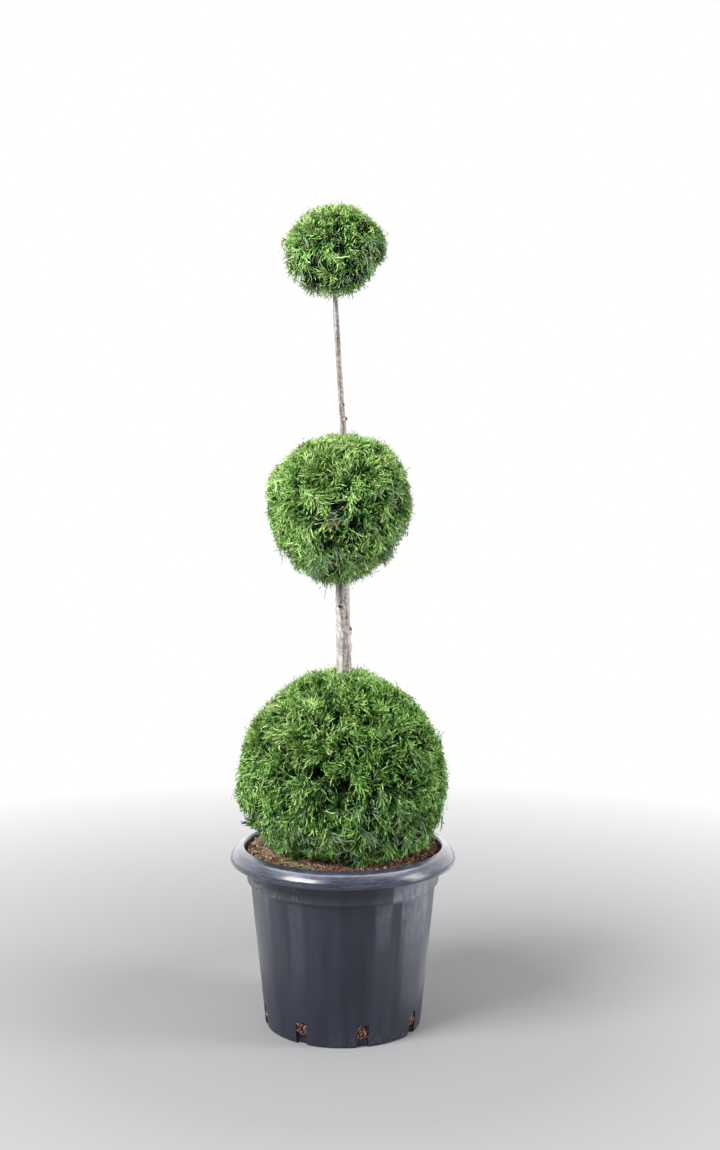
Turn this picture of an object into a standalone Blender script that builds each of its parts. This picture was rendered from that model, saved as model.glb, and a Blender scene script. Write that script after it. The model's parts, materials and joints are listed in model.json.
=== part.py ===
"""A thuja clipped into three balls on one bare stem, standing in a black nursery pot.

Units are metres and +Z is up. The origin is on the ground under the pot's axis, and -Y is the
front of the plant. Each sub-part is one closed, named object: the pot, the compost that fills it,
the trunk, and the three clipped balls of foliage. Each ball is a core with twigs and toothed
sprays that stand out of it, joined into one mesh, and it is cut clear of the trunk.
"""

import math
import random
from dataclasses import dataclass

import bmesh
import bpy
from mathutils import Matrix, Vector, noise
from mathutils.bvhtree import BVHTree

# Clearance between pieces that touch, and the distance within which points are merged
GAP = 0.0003
MERGE_DISTANCE = 0.00002

# Pot
POT_HEIGHT = 0.318
POT_RIM_RADIUS = 0.203
POT_FOOT_RADIUS = 0.140
POT_WALL = 0.0025
POT_STEPS = 40
BODY_TOP_HEIGHT = 0.240
BODY_TOP_RADIUS = 0.1655
COLLAR_FOOT_HEIGHT = 0.2505
COLLAR_FOOT_RADIUS = 0.1720
COLLAR_TOP_RADIUS = 0.1765
RIM_ROOT_DROP = 0.017
RIM_THICKNESS = 0.0032
LIP_FOOT_HEIGHT = 0.2910
FOOT_CHAMFER = 0.0015
FOOT_RING_WIDTH = 0.0155
FLOOR_UNDERSIDE = 0.0125
FLOOR_TOP = 0.0160

# The rim's outer surface: distance in from its widest radius, and depth below the pot's top
RIM_CREST = (
    (0.0257, 0.0035),
    (0.0220, 0.0000),
    (0.0140, 0.0022),
    (0.0070, 0.0062),
    (0.0032, 0.0120),
    (0.0000, 0.0240),
)

# Drainage notches in the foot of the pot
NOTCH_COUNT = 8
NOTCH_PHASE = math.radians(14)
NOTCH_WIDTH = 0.021
NOTCH_TOP = 0.039
NOTCH_DEPTH = 0.008
NOTCH_CORNER = 0.003
NOTCH_CUTTER_LENGTH = 0.030
NOTCH_CUTTER_DROP = 0.010

# Compost: its top falls from the middle to the edge, by these shares of the drop at these radii
SOIL_TOP = 0.311
SOIL_EDGE_DROP = 0.003
SOIL_FALL = ((0.036, 0), (0.100, 0.35), (0.155, 0.75))
SOIL_CLEARANCE = 0.0004

# Trunk: height, offset to the right, offset to the back, radius
TRUNK_SEAT = SOIL_TOP + GAP
TRUNK_STATIONS = (
    (TRUNK_SEAT, 0.0010, 0.0000, 0.0310),
    (0.3190, 0.0010, 0.0000, 0.0255),
    (0.3390, 0.0012, 0.0000, 0.0205),
    (0.3850, 0.0015, 0.0005, 0.0178),
    (0.4800, 0.0030, 0.0020, 0.0158),
    (0.6360, 0.0020, 0.0010, 0.0136),
    (0.7770, -0.0010, 0.0000, 0.0123),
    (0.9400, -0.0015, -0.0020, 0.0088),
    (1.0630, 0.0006, 0.0000, 0.0054),
    (1.1100, -0.0026, 0.0005, 0.0050),
    (1.2120, -0.0088, 0.0020, 0.0049),
    (1.3060, -0.0137, 0.0010, 0.0047),
    (1.4250, -0.0130, 0.0000, 0.0022),
)
TRUNK_RINGS_A_SPAN = 3
TRUNK_BEVEL_RESOLUTION = 3
FOOT_RING_REACH = 0.002
TIP_GROWTH = 4

# Pruned stubs on the bare stem: height, bearing from the right towards the back, radius, length
STUBS = (
    (0.7455, -112, 0.0042, 0.0045),
    (0.7000, -20, 0.0035, 0.0040),
    (0.6720, 15, 0.0030, 0.0030),
    (1.0840, -25, 0.0030, 0.0060),
    (1.1090, -60, 0.0024, 0.0035),
)
STUB_TILT = math.radians(35)
STUB_SPREAD = 1.5
STUB_SIDES = 8

# Foliage
LUMP_SHARE = 0.035
LUMPS_ROUND_A_BALL = 2.6
CORE_SUBDIVISIONS = 3
CORE_ROUGHNESS = 0.045
CORE_CLEAR_OF_SOIL = 0.010
LEAF_CLEAR_OF_SOIL = 0.0015
LIMB_CLEARANCE = 0.0004
TWIG_SIDES = 3
TWIG_ROOT_RADIUS = 0.0030
TWIG_TIP_RADIUS = 0.0012
TWIG_ROOT_SHARE = 0.62
TWIG_TIP_SHARE = 0.97
SPRAYS_A_TWIG = 3
SPRAY_ROOT_SHARE = 0.70
SPRAY_LEAN = (math.radians(30), math.radians(52))
SPRAY_ROLL = math.radians(38)
SPRAY_DROOP = (-0.06, 0.10)
SPRAY_THICKNESS_SHARE = 0.05
BEARING_JITTER = math.radians(22)
SITE_JITTER = 0.08
SHRINK_STEP = 0.94
SHRINK_TRIES = 7
GOLDEN_ANGLE = math.pi * (3 - math.sqrt(5))

# Outline of a spray along and across it, as shares of its length: a stem, then a toothed fan
SPRAY_HUB = 0.66
SPRAY_OUTLINE = (
    (0.00, -0.030),
    (0.48, -0.090),
    (0.80, -0.330),
    (0.76, -0.120),
    (1.00, -0.050),
    (0.80, 0.070),
    (0.90, 0.270),
    (0.58, 0.120),
    (0.00, 0.030),
)


@dataclass(frozen=True)
class Swell:
    """A place where a ball bulges, or is dented where rise is negative."""

    bearing: float
    elevation: float
    rise: float
    spread: float


@dataclass(frozen=True)
class Ball:
    """One clipped ball of foliage, measured from its widest height."""

    name: str
    centre: Vector
    half_width: float
    up: float
    down: float
    fullness_below: float
    core_share: float
    twigs: int
    seed: int
    swells: tuple


BALLS = (
    Ball("ball_low", Vector((0.001, 0, 0.448)), 0.189, 0.189, 0.170, 2.4, 0.87, 46, 11,
         (Swell(20, 42, -0.012, 26), Swell(184, -8, 0.007, 12))),
    Ball("ball_middle", Vector((-0.008, 0, 0.940)), 0.133, 0.121, 0.156, 2.0, 0.85, 30, 23,
         (Swell(10, 50, 0.010, 22), Swell(0, -18, -0.007, 20), Swell(180, -40, 0.006, 20))),
    Ball("ball_top", Vector((-0.0127, 0, 1.389)), 0.0945, 0.087, 0.0850, 2.0, 0.82, 20, 37,
         (Swell(0, -32, -0.015, 22), Swell(180, -42, 0.007, 22), Swell(60, 86, 0.003, 20))),
)


def clear_scene():
    """Removes the objects that the scene starts with."""
    for obj in list(bpy.data.objects):
        bpy.data.objects.remove(obj)


def new_collection(name):
    """A new collection, linked to the scene."""
    collection = bpy.data.collections.new(name)
    bpy.context.scene.collection.children.link(collection)
    return collection


def material(name, colour, roughness):
    """A Principled material of one colour."""
    made = bpy.data.materials.new(name)
    made.use_nodes = True
    shader = made.node_tree.nodes["Principled BSDF"]
    shader.inputs["Base Color"].default_value = (*colour, 1)
    shader.inputs["Roughness"].default_value = roughness
    shader.inputs["Metallic"].default_value = 0
    return made


def add_object(name, data, collection, finish=None):
    """Links a new object that holds data."""
    obj = bpy.data.objects.new(name, data)
    collection.objects.link(obj)
    if finish:
        obj.data.materials.append(finish)
    return obj


def mesh_from(name, bm):
    """The bmesh as a new mesh datablock."""
    mesh = bpy.data.meshes.new(name)
    bm.to_mesh(mesh)
    bm.free()
    return mesh


def as_evaluated(obj):
    """Replaces a mesh object's data by its evaluated mesh and clears its modifiers."""
    graph = bpy.context.evaluated_depsgraph_get()
    mesh = bpy.data.meshes.new_from_object(obj.evaluated_get(graph))
    obj.modifiers.clear()
    obj.data = mesh
    return obj


def hide_helper(obj):
    """Marks a cutter, which isn't part of the object."""
    obj.hide_render = True
    obj.display_type = "WIRE"


def turned(name, profile, collection, finish):
    """A closed profile of (radius, height), down its outer side, turned about the Z axis."""
    mesh = bpy.data.meshes.new(name)
    edges = [(i, i + 1) for i in range(len(profile) - 1)]
    mesh.from_pydata([(radius, 0, height) for radius, height in profile], edges, [])
    obj = add_object(name, mesh, collection, finish)
    screw = obj.modifiers.new("turn", "SCREW")
    screw.steps = POT_STEPS
    screw.render_steps = POT_STEPS
    screw.use_merge_vertices = True
    screw.merge_threshold = MERGE_DISTANCE
    return obj


def pot_inner_wall():
    """(radius, height) points up the pot's inner wall, from its floor to its mouth."""
    taper = (BODY_TOP_RADIUS - POT_FOOT_RADIUS) / BODY_TOP_HEIGHT
    return [
        (POT_FOOT_RADIUS + taper * FLOOR_TOP - POT_WALL, FLOOR_TOP),
        (BODY_TOP_RADIUS - POT_WALL, BODY_TOP_HEIGHT + POT_WALL / 2),
        (COLLAR_FOOT_RADIUS - POT_WALL, COLLAR_FOOT_HEIGHT + POT_WALL / 2),
        (COLLAR_TOP_RADIUS - POT_WALL, POT_HEIGHT - RIM_ROOT_DROP + POT_WALL),
    ]


def pot_rim():
    """(radius, height) points over the drooping rim, from its inner side to under its lip."""
    over = [(POT_RIM_RADIUS - inset, POT_HEIGHT - drop) for inset, drop in RIM_CREST]
    under = [(radius - RIM_THICKNESS / 2, height - RIM_THICKNESS) for radius, height in over[1:-1]]
    foot = [
        (POT_RIM_RADIUS - RIM_THICKNESS / 4, LIP_FOOT_HEIGHT),
        (POT_RIM_RADIUS - RIM_THICKNESS, LIP_FOOT_HEIGHT),
    ]
    return [*over, *foot, *reversed(under)]


def pot_outer_wall():
    """(radius, height) points down the pot's outer wall and in under its foot."""
    ring_inside = POT_FOOT_RADIUS - FOOT_RING_WIDTH
    return [
        (COLLAR_TOP_RADIUS, POT_HEIGHT - RIM_ROOT_DROP),
        (COLLAR_FOOT_RADIUS, COLLAR_FOOT_HEIGHT),
        (BODY_TOP_RADIUS, BODY_TOP_HEIGHT),
        (POT_FOOT_RADIUS, 2 * FOOT_CHAMFER),
        (POT_FOOT_RADIUS - FOOT_CHAMFER, 0),
        (ring_inside, 0),
        (ring_inside - FOOT_CHAMFER, FLOOR_UNDERSIDE),
    ]


def make_pot(collection, cutters, finish):
    """The thin-walled pot, with eight notches through the foot of its wall."""
    profile = [(0, FLOOR_TOP), *pot_inner_wall(), *pot_rim(), *pot_outer_wall(), (0, FLOOR_UNDERSIDE)]
    pot = turned("pot", profile, collection, finish)
    height = NOTCH_TOP + NOTCH_CUTTER_DROP
    distance = POT_FOOT_RADIUS - NOTCH_DEPTH + NOTCH_CUTTER_LENGTH / 2
    for k in range(NOTCH_COUNT):
        bm = bmesh.new()
        bmesh.ops.create_cube(bm, size=1)
        bmesh.ops.scale(bm, vec=(NOTCH_WIDTH, NOTCH_CUTTER_LENGTH, height), verts=bm.verts)
        bmesh.ops.translate(bm, vec=(0, -distance, NOTCH_TOP - height / 2), verts=bm.verts)
        notch = add_object(f"notch_{k}", mesh_from("notch", bm), cutters)
        notch.rotation_euler.z = NOTCH_PHASE + k * math.tau / NOTCH_COUNT
        bevel = notch.modifiers.new("corners", "BEVEL")
        bevel.width = NOTCH_CORNER
        bevel.segments = 2
        hide_helper(notch)
    cut = pot.modifiers.new("notches", "BOOLEAN")
    cut.operation = "DIFFERENCE"
    cut.operand_type = "COLLECTION"
    cut.collection = cutters
    return pot


def make_soil(collection, finish):
    """The compost, which fills the pot to just under its rim."""
    inner = [*pot_inner_wall(), pot_rim()[0]]
    wall = [(radius - SOIL_CLEARANCE, height) for radius, height in inner]
    edge = SOIL_TOP - SOIL_EDGE_DROP
    (low_r, low_z), (high_r, high_z) = wall[-2:]
    edge_radius = low_r + (high_r - low_r) * (edge - low_z) / (high_z - low_z)
    profile = [
        (0, SOIL_TOP),
        *((radius, SOIL_TOP - share * SOIL_EDGE_DROP) for radius, share in SOIL_FALL),
        (edge_radius, edge),
        *reversed(wall[1:-1]),
        (wall[0][0], FLOOR_TOP + SOIL_CLEARANCE),
        (0, FLOOR_TOP + SOIL_CLEARANCE),
    ]
    return turned("soil", profile, collection, finish)


def trunk_at(height):
    """(centre, radius) of the trunk at a height, on a smooth curve through its stations."""
    stations = TRUNK_STATIONS
    height = min(max(height, stations[0][0]), stations[-1][0])
    k = max(i for i in range(len(stations) - 1) if stations[i][0] <= height)
    span = stations[k + 1][0] - stations[k][0]
    t = (height - stations[k][0]) / span
    before, after = max(k - 1, 0), min(k + 2, len(stations) - 1)
    values = []
    for column in (1, 2, 3):
        slopes = []
        for low, high in ((before, k + 1), (k, after)):
            rise = stations[high][column] - stations[low][column]
            slopes.append(rise / (stations[high][0] - stations[low][0]) * span)
        start, end = stations[k][column], stations[k + 1][column]
        values.append(
            start * (2 * t**3 - 3 * t**2 + 1)
            + slopes[0] * (t**3 - 2 * t**2 + t)
            + end * (3 * t**2 - 2 * t**3)
            + slopes[1] * (t**3 - t**2)
        )
    return Vector((values[0], values[1], height)), values[2]


def trunk_tube(name, grow, collection):
    """The trunk as a closed mesh tube, its radius grown by a clearance."""
    data = bpy.data.curves.new(name, "CURVE")
    data.dimensions = "3D"
    data.twist_mode = "MINIMUM"
    data.bevel_depth = 1
    data.bevel_resolution = TRUNK_BEVEL_RESOLUTION
    data.use_fill_caps = True
    heights = []
    for low, high in zip(TRUNK_STATIONS, TRUNK_STATIONS[1:]):
        heights += [
            low[0] + (high[0] - low[0]) * k / TRUNK_RINGS_A_SPAN for k in range(TRUNK_RINGS_A_SPAN)
        ]
    heights.append(TRUNK_STATIONS[-1][0])
    spline = data.splines.new("POLY")
    spline.points.add(len(heights) - 1)
    for point, height in zip(spline.points, heights):
        centre, radius = trunk_at(height)
        point.co = (*centre, 1)
        point.radius = radius + grow
    spline.points[-1].co.z += grow * TIP_GROWTH
    curve = add_object(name + "_curve", data, collection)
    graph = bpy.context.evaluated_depsgraph_get()
    mesh = bpy.data.meshes.new_from_object(curve.evaluated_get(graph))
    bpy.data.objects.remove(curve)
    bm = bmesh.new()
    bm.from_mesh(mesh)
    bmesh.ops.remove_doubles(bm, verts=bm.verts, dist=MERGE_DISTANCE)
    bmesh.ops.recalc_face_normals(bm, faces=bm.faces)
    return add_object(name, mesh_from(name, bm), collection)


def flatten_foot(obj):
    """Sets the trunk's lowest ring level, so that it is a flat cut at the ground."""
    for vertex in obj.data.vertices:
        if vertex.co.z < TRUNK_SEAT + FOOT_RING_REACH:
            vertex.co.z = TRUNK_SEAT


def make_trunk(collection, finish):
    """The whole stem, from its flared foot on the compost to its tip in the top ball."""
    trunk = trunk_tube("trunk", 0, collection)
    flatten_foot(trunk)
    trunk.data.materials.append(finish)
    stubs = new_collection("stubs")
    for height, bearing, radius, length in STUBS:
        centre, trunk_radius = trunk_at(height)
        bm = bmesh.new()
        depth = length + trunk_radius
        bmesh.ops.create_cone(
            bm, cap_ends=True, segments=STUB_SIDES,
            radius1=radius * STUB_SPREAD, radius2=radius, depth=depth,
        )
        bmesh.ops.translate(bm, vec=(0, 0, depth / 2), verts=bm.verts)
        stub = add_object("stub", mesh_from("stub", bm), stubs)
        turn = Matrix.Rotation(math.radians(bearing), 4, "Z")
        tilt = Matrix.Rotation(math.pi / 2 - STUB_TILT, 4, "Y")
        stub.matrix_world = Matrix.Translation(centre) @ turn @ tilt
    return join_all(trunk, stubs)


def join_all(obj, collection):
    """Joins a collection's objects into obj by one Boolean union and removes them."""
    union = obj.modifiers.new("join", "BOOLEAN")
    union.operation = "UNION"
    union.operand_type = "COLLECTION"
    union.collection = collection
    bpy.context.view_layer.update()
    as_evaluated(obj)
    for piece in list(collection.objects):
        bpy.data.objects.remove(piece)
    bpy.data.collections.remove(collection)
    return obj


def reach(ball, direction):
    """How far the clipped surface lies from the ball's centre, along a unit direction."""
    rise, power = (ball.up, 2) if direction.z > 0 else (ball.down, ball.fullness_below)
    flat = math.hypot(direction.x, direction.y) / ball.half_width
    distance = (flat**power + (abs(direction.z) / rise) ** power) ** (-1 / power)
    lump = noise.noise(direction * LUMPS_ROUND_A_BALL + Vector((ball.seed, 0, 0)))
    distance *= 1 + LUMP_SHARE * lump
    for swell in ball.swells:
        bearing, elevation = math.radians(swell.bearing), math.radians(swell.elevation)
        middle = Vector((
            math.cos(elevation) * math.cos(bearing),
            math.cos(elevation) * math.sin(bearing),
            math.sin(elevation),
        ))
        away = math.degrees(direction.angle(middle)) / swell.spread
        distance += swell.rise * math.exp(-(away**2))
    return distance


def inside(ball, point):
    """Whether a point is in the ball's own space, above the compost."""
    offset = point - ball.centre
    above_soil = point.z > SOIL_TOP + LEAF_CLEAR_OF_SOIL
    return above_soil and offset.length <= reach(ball, offset.normalized())


def touches(bm, limb):
    """Whether a placed piece crosses the limb's clearance, or lies inside it."""
    corner = bm.verts[:][0].co
    place, normal, _, _ = limb.find_nearest(corner)
    return (corner - place).dot(normal) < 0 or bool(BVHTree.FromBMesh(bm).overlap(limb))


def make_core(ball, clearance, chance, collection, finish):
    """The ball's rough inner mass, which its sprays stand out of, cut clear of the trunk."""
    bm = bmesh.new()
    bmesh.ops.create_icosphere(bm, subdivisions=CORE_SUBDIVISIONS, radius=1)
    floor = SOIL_TOP + CORE_CLEAR_OF_SOIL
    for vertex in bm.verts:
        direction = vertex.co.normalized()
        share = ball.core_share + chance.uniform(-CORE_ROUGHNESS, CORE_ROUGHNESS)
        vertex.co = ball.centre + direction * reach(ball, direction) * share
        vertex.co.z = max(vertex.co.z, floor)
    core = add_object(ball.name, mesh_from(ball.name, bm), collection, finish)
    cut = core.modifiers.new("trunk_hole", "BOOLEAN")
    cut.operation = "DIFFERENCE"
    cut.object = clearance
    bpy.context.view_layer.update()
    return as_evaluated(core)


def frame_along(root, along, across):
    """A matrix whose X runs along a direction and whose Y lies across it, at root."""
    x = along.normalized()
    z = x.cross(across).normalized()
    y = z.cross(x)
    return Matrix.Translation(root) @ Matrix((x, y, z)).transposed().to_4x4()


def new_twig(length, placed):
    """A three-sided twig that runs along +X from its root, tapers, and is set in its place."""
    bm = bmesh.new()
    bmesh.ops.create_cone(
        bm, cap_ends=True, segments=TWIG_SIDES,
        radius1=TWIG_ROOT_RADIUS, radius2=TWIG_TIP_RADIUS, depth=length,
    )
    turn = Matrix.Translation((length / 2, 0, 0)) @ Matrix.Rotation(math.pi / 2, 4, "Y")
    bmesh.ops.transform(bm, matrix=placed @ turn, verts=bm.verts)
    return bm


def spray_points(length, side, droop):
    """The toothed outline in its own frame, and the two middles of the spray's faces."""
    outline = []
    for along, across in SPRAY_OUTLINE:
        outline.append(Vector((along, side * across, -droop * along**2)) * length)
    if side < 0:
        outline.reverse()
    half = Vector((0, 0, SPRAY_THICKNESS_SHARE * length / 2))
    middle = Vector((SPRAY_HUB, 0, -droop * SPRAY_HUB**2)) * length
    return outline, middle + half, middle - half


def new_spray(length, side, droop, placed):
    """A stem that widens into a toothed fan, thick at its middle, from a two-ring sphere."""
    outline, top, bottom = spray_points(length, side, droop)
    bm = bmesh.new()
    bmesh.ops.create_uvsphere(bm, u_segments=len(outline), v_segments=2, radius=1)
    rim = [v for v in bm.verts if abs(v.co.z) < 0.5]
    rim.sort(key=lambda v: math.atan2(v.co.y, v.co.x))
    high, low = sorted((v for v in bm.verts if abs(v.co.z) > 0.5), key=lambda v: -v.co.z)
    high.co, low.co = top, bottom
    for vertex, place in zip(rim, outline):
        vertex.co = place
    bmesh.ops.transform(bm, matrix=placed, verts=bm.verts)
    return bm


def fitted_spray(ball, limb, placed, length, side, droop):
    """A placed spray, shrunk until it keeps to the ball's space, or None where it can't."""
    for _ in range(SHRINK_TRIES):
        spray = new_spray(length, side, droop, placed)
        if touches(spray, limb):
            spray.free()
            return None
        if all(inside(ball, vertex.co) for vertex in spray.verts):
            return spray
        spray.free()
        length *= SHRINK_STEP
    return None


def sites(ball, chance):
    """Unit directions spread evenly over the ball by the golden angle, each a little off."""
    for k in range(ball.twigs):
        z = 1 - 2 * (k + 0.5) / ball.twigs
        flat = math.sqrt(1 - z * z)
        turn = k * GOLDEN_ANGLE + ball.seed
        direction = Vector((flat * math.cos(turn), flat * math.sin(turn), z))
        direction += Vector([chance.uniform(-SITE_JITTER, SITE_JITTER) for _ in range(3)])
        yield direction.normalized()


def add_twig(ball, limb, direction, chance, leaves):
    """One twig out of the core, and the sprays that fork from it in turn around it."""
    distance = reach(ball, direction)
    root = ball.centre + direction * distance * TWIG_ROOT_SHARE
    start = ball.centre + direction * distance * SPRAY_ROOT_SHARE
    tip = ball.centre + direction * distance * TWIG_TIP_SHARE
    across = direction.orthogonal().normalized()
    first = chance.uniform(0, math.tau)
    pieces = []
    for k in range(SPRAYS_A_TWIG):
        bearing = first + k * math.tau / SPRAYS_A_TWIG + chance.uniform(-BEARING_JITTER, BEARING_JITTER)
        axis = Matrix.Rotation(bearing, 3, direction) @ across
        lean = chance.uniform(*SPRAY_LEAN)
        along = Matrix.Rotation(lean, 3, axis) @ direction
        roll = Matrix.Rotation(chance.uniform(-SPRAY_ROLL, SPRAY_ROLL), 3, along)
        placed = frame_along(start, along, roll @ axis)
        side = chance.choice((-1, 1))
        length = distance * (1 - SPRAY_ROOT_SHARE) / math.cos(lean)
        spray = fitted_spray(ball, limb, placed, length, side, chance.uniform(*SPRAY_DROOP))
        if spray:
            pieces.append(spray)
    twig = new_twig((tip - root).length, frame_along(root, direction, across))
    if inside(ball, tip) and not touches(twig, limb):
        pieces.append(twig)
    for piece in pieces:
        add_object("spray", mesh_from("spray", piece), leaves)


def keep_largest(obj):
    """Drops every loose scrap of a joined mesh, and keeps its main body."""
    bm = bmesh.new()
    bm.from_mesh(obj.data)
    left, bodies = set(bm.verts), []
    while left:
        body, edge = set(), [left.pop()]
        while edge:
            vertex = edge.pop()
            body.add(vertex)
            near = {e.other_vert(vertex) for e in vertex.link_edges} & left
            left -= near
            edge += near
        bodies.append(body)
    bodies.sort(key=len)
    scraps = [vertex for body in bodies[:-1] for vertex in body]
    bmesh.ops.delete(bm, geom=scraps, context="VERTS")
    bm.to_mesh(obj.data)
    bm.free()


def make_ball(ball, clearance, collection, finish):
    """One clipped ball: its core, with every twig and spray joined on."""
    chance = random.Random(ball.seed)
    core = make_core(ball, clearance, chance, collection, finish)
    leaves = new_collection(ball.name + "_leaves")
    shape = clearance.data
    limb = BVHTree.FromPolygons([v.co for v in shape.vertices], [p.vertices for p in shape.polygons])
    for direction in sites(ball, chance):
        add_twig(ball, limb, direction, chance, leaves)
    join_all(core, leaves)
    keep_largest(core)
    return core


def shade(obj, angle=math.radians(35)):
    """Shades a mesh smooth, with its sharp edges kept."""
    obj.data.shade_smooth()
    obj.data.set_sharp_from_angle(angle=angle)


def main():
    """Builds the pot, the compost, the trunk and the three balls."""
    clear_scene()
    plant = new_collection("potted_thuja")
    cutters = new_collection("cutters")
    plastic = material("pot_plastic", (0.030, 0.032, 0.038), 0.42)
    compost = material("compost", (0.120, 0.062, 0.036), 0.95)
    bark = material("bark", (0.360, 0.290, 0.240), 0.85)
    foliage = material("foliage", (0.090, 0.200, 0.035), 0.60)
    make_pot(plant, cutters, plastic)
    make_soil(plant, compost)
    shade(make_trunk(plant, bark))
    clearance = trunk_tube("trunk_clearance", LIMB_CLEARANCE, new_collection("guides"))
    for ball in BALLS:
        make_ball(ball, clearance, plant, foliage)
    bpy.data.objects.remove(clearance)


main()
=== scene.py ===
"""The finished look of a thuja clipped into three balls on one stem, in its black nursery pot.

Units are metres and +Z is up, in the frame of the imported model, which is loaded first. The origin
is on the ground under the pot's axis, and -Y is the plant's front. Each sub-assembly is a class:
the trunk, the clipped balls of foliage, the pot, the compost and the studio round them.
"""

import json
import logging
import math
from collections.abc import Sequence
from dataclasses import dataclass, field, fields
from enum import Enum
from typing import ClassVar, Self

import bmesh
import bpy
import numpy as np
from mathutils import Matrix, Vector, noise

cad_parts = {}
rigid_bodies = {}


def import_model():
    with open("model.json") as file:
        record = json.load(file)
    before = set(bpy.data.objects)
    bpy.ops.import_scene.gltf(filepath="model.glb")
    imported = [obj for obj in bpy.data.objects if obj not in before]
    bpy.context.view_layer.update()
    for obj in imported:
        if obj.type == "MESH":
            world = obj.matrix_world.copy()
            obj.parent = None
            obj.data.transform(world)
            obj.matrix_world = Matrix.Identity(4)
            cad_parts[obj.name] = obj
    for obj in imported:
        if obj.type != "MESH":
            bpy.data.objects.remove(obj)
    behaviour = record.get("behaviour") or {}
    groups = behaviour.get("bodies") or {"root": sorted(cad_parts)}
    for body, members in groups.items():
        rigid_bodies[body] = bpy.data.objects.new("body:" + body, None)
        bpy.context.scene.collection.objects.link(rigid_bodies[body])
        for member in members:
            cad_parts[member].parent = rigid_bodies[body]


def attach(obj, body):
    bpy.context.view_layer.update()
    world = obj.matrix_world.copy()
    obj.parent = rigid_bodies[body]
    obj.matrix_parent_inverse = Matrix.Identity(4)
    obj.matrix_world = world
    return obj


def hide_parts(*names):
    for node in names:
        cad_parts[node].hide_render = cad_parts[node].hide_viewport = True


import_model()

LOG = logging.getLogger("potted_thuja")
BODY = "root"
GOLDEN_ANGLE = math.pi * (3 - math.sqrt(5))
UP = np.array((0.0, 0.0, 1.0))
MOST_TRIANGLES = 196_000
FANS = 14
FAN_SEED = 3

Chance = np.random.Generator
Material = bpy.types.Material
Piece = bpy.types.Object
Socket = bpy.types.NodeSocket
Points = np.ndarray
Mesh = tuple[Points, Points, Points]
Range = tuple[float, float]
Triple = tuple[float, float, float]
Colour = Triple
NoiseLayers = tuple[tuple[Triple, float], ...]
NoiseSetting = tuple[float, Triple, float, float]
Band = tuple[float, float, float, float, float]


# Shader helpers


@dataclass
class Nodes:
    """A node tree under construction, with short ways to add nodes."""

    tree: bpy.types.NodeTree

    def add(self, kind: str) -> bpy.types.Node:
        """A new node, by the last part of its type's name."""
        return self.tree.nodes.new("ShaderNode" + kind)

    def link(self, output: Socket, node: bpy.types.Node, socket: int | str) -> None:
        """Joins an output to a node's input."""
        self.tree.links.new(output, node.inputs[socket])

    def span(self, value: Socket, low: float, high: float, to_low: float, to_high: float) -> Socket:
        """A value moved from one span to another and held within it.

        Args:
            value: the value to move.
            low: where the old span begins.
            high: where the old span ends.
            to_low: where the new span begins.
            to_high: where the new span ends.

        Returns:
            The moved value.
        """
        node = self.add("MapRange")
        for k, number in enumerate((low, high, to_low, to_high), start=1):
            node.inputs[k].default_value = number
        self.link(value, node, "Value")
        return node.outputs["Result"]

    def mixed_light(
        self, share: Socket, first: bpy.types.Node, second: bpy.types.Node
    ) -> bpy.types.Node:
        """Two shaders or backgrounds, blended by a share that is 1 for the second."""
        node = self.add("MixShader")
        for k, output in enumerate((share, first.outputs[0], second.outputs[0])):
            self.link(output, node, k)
        return node


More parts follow.
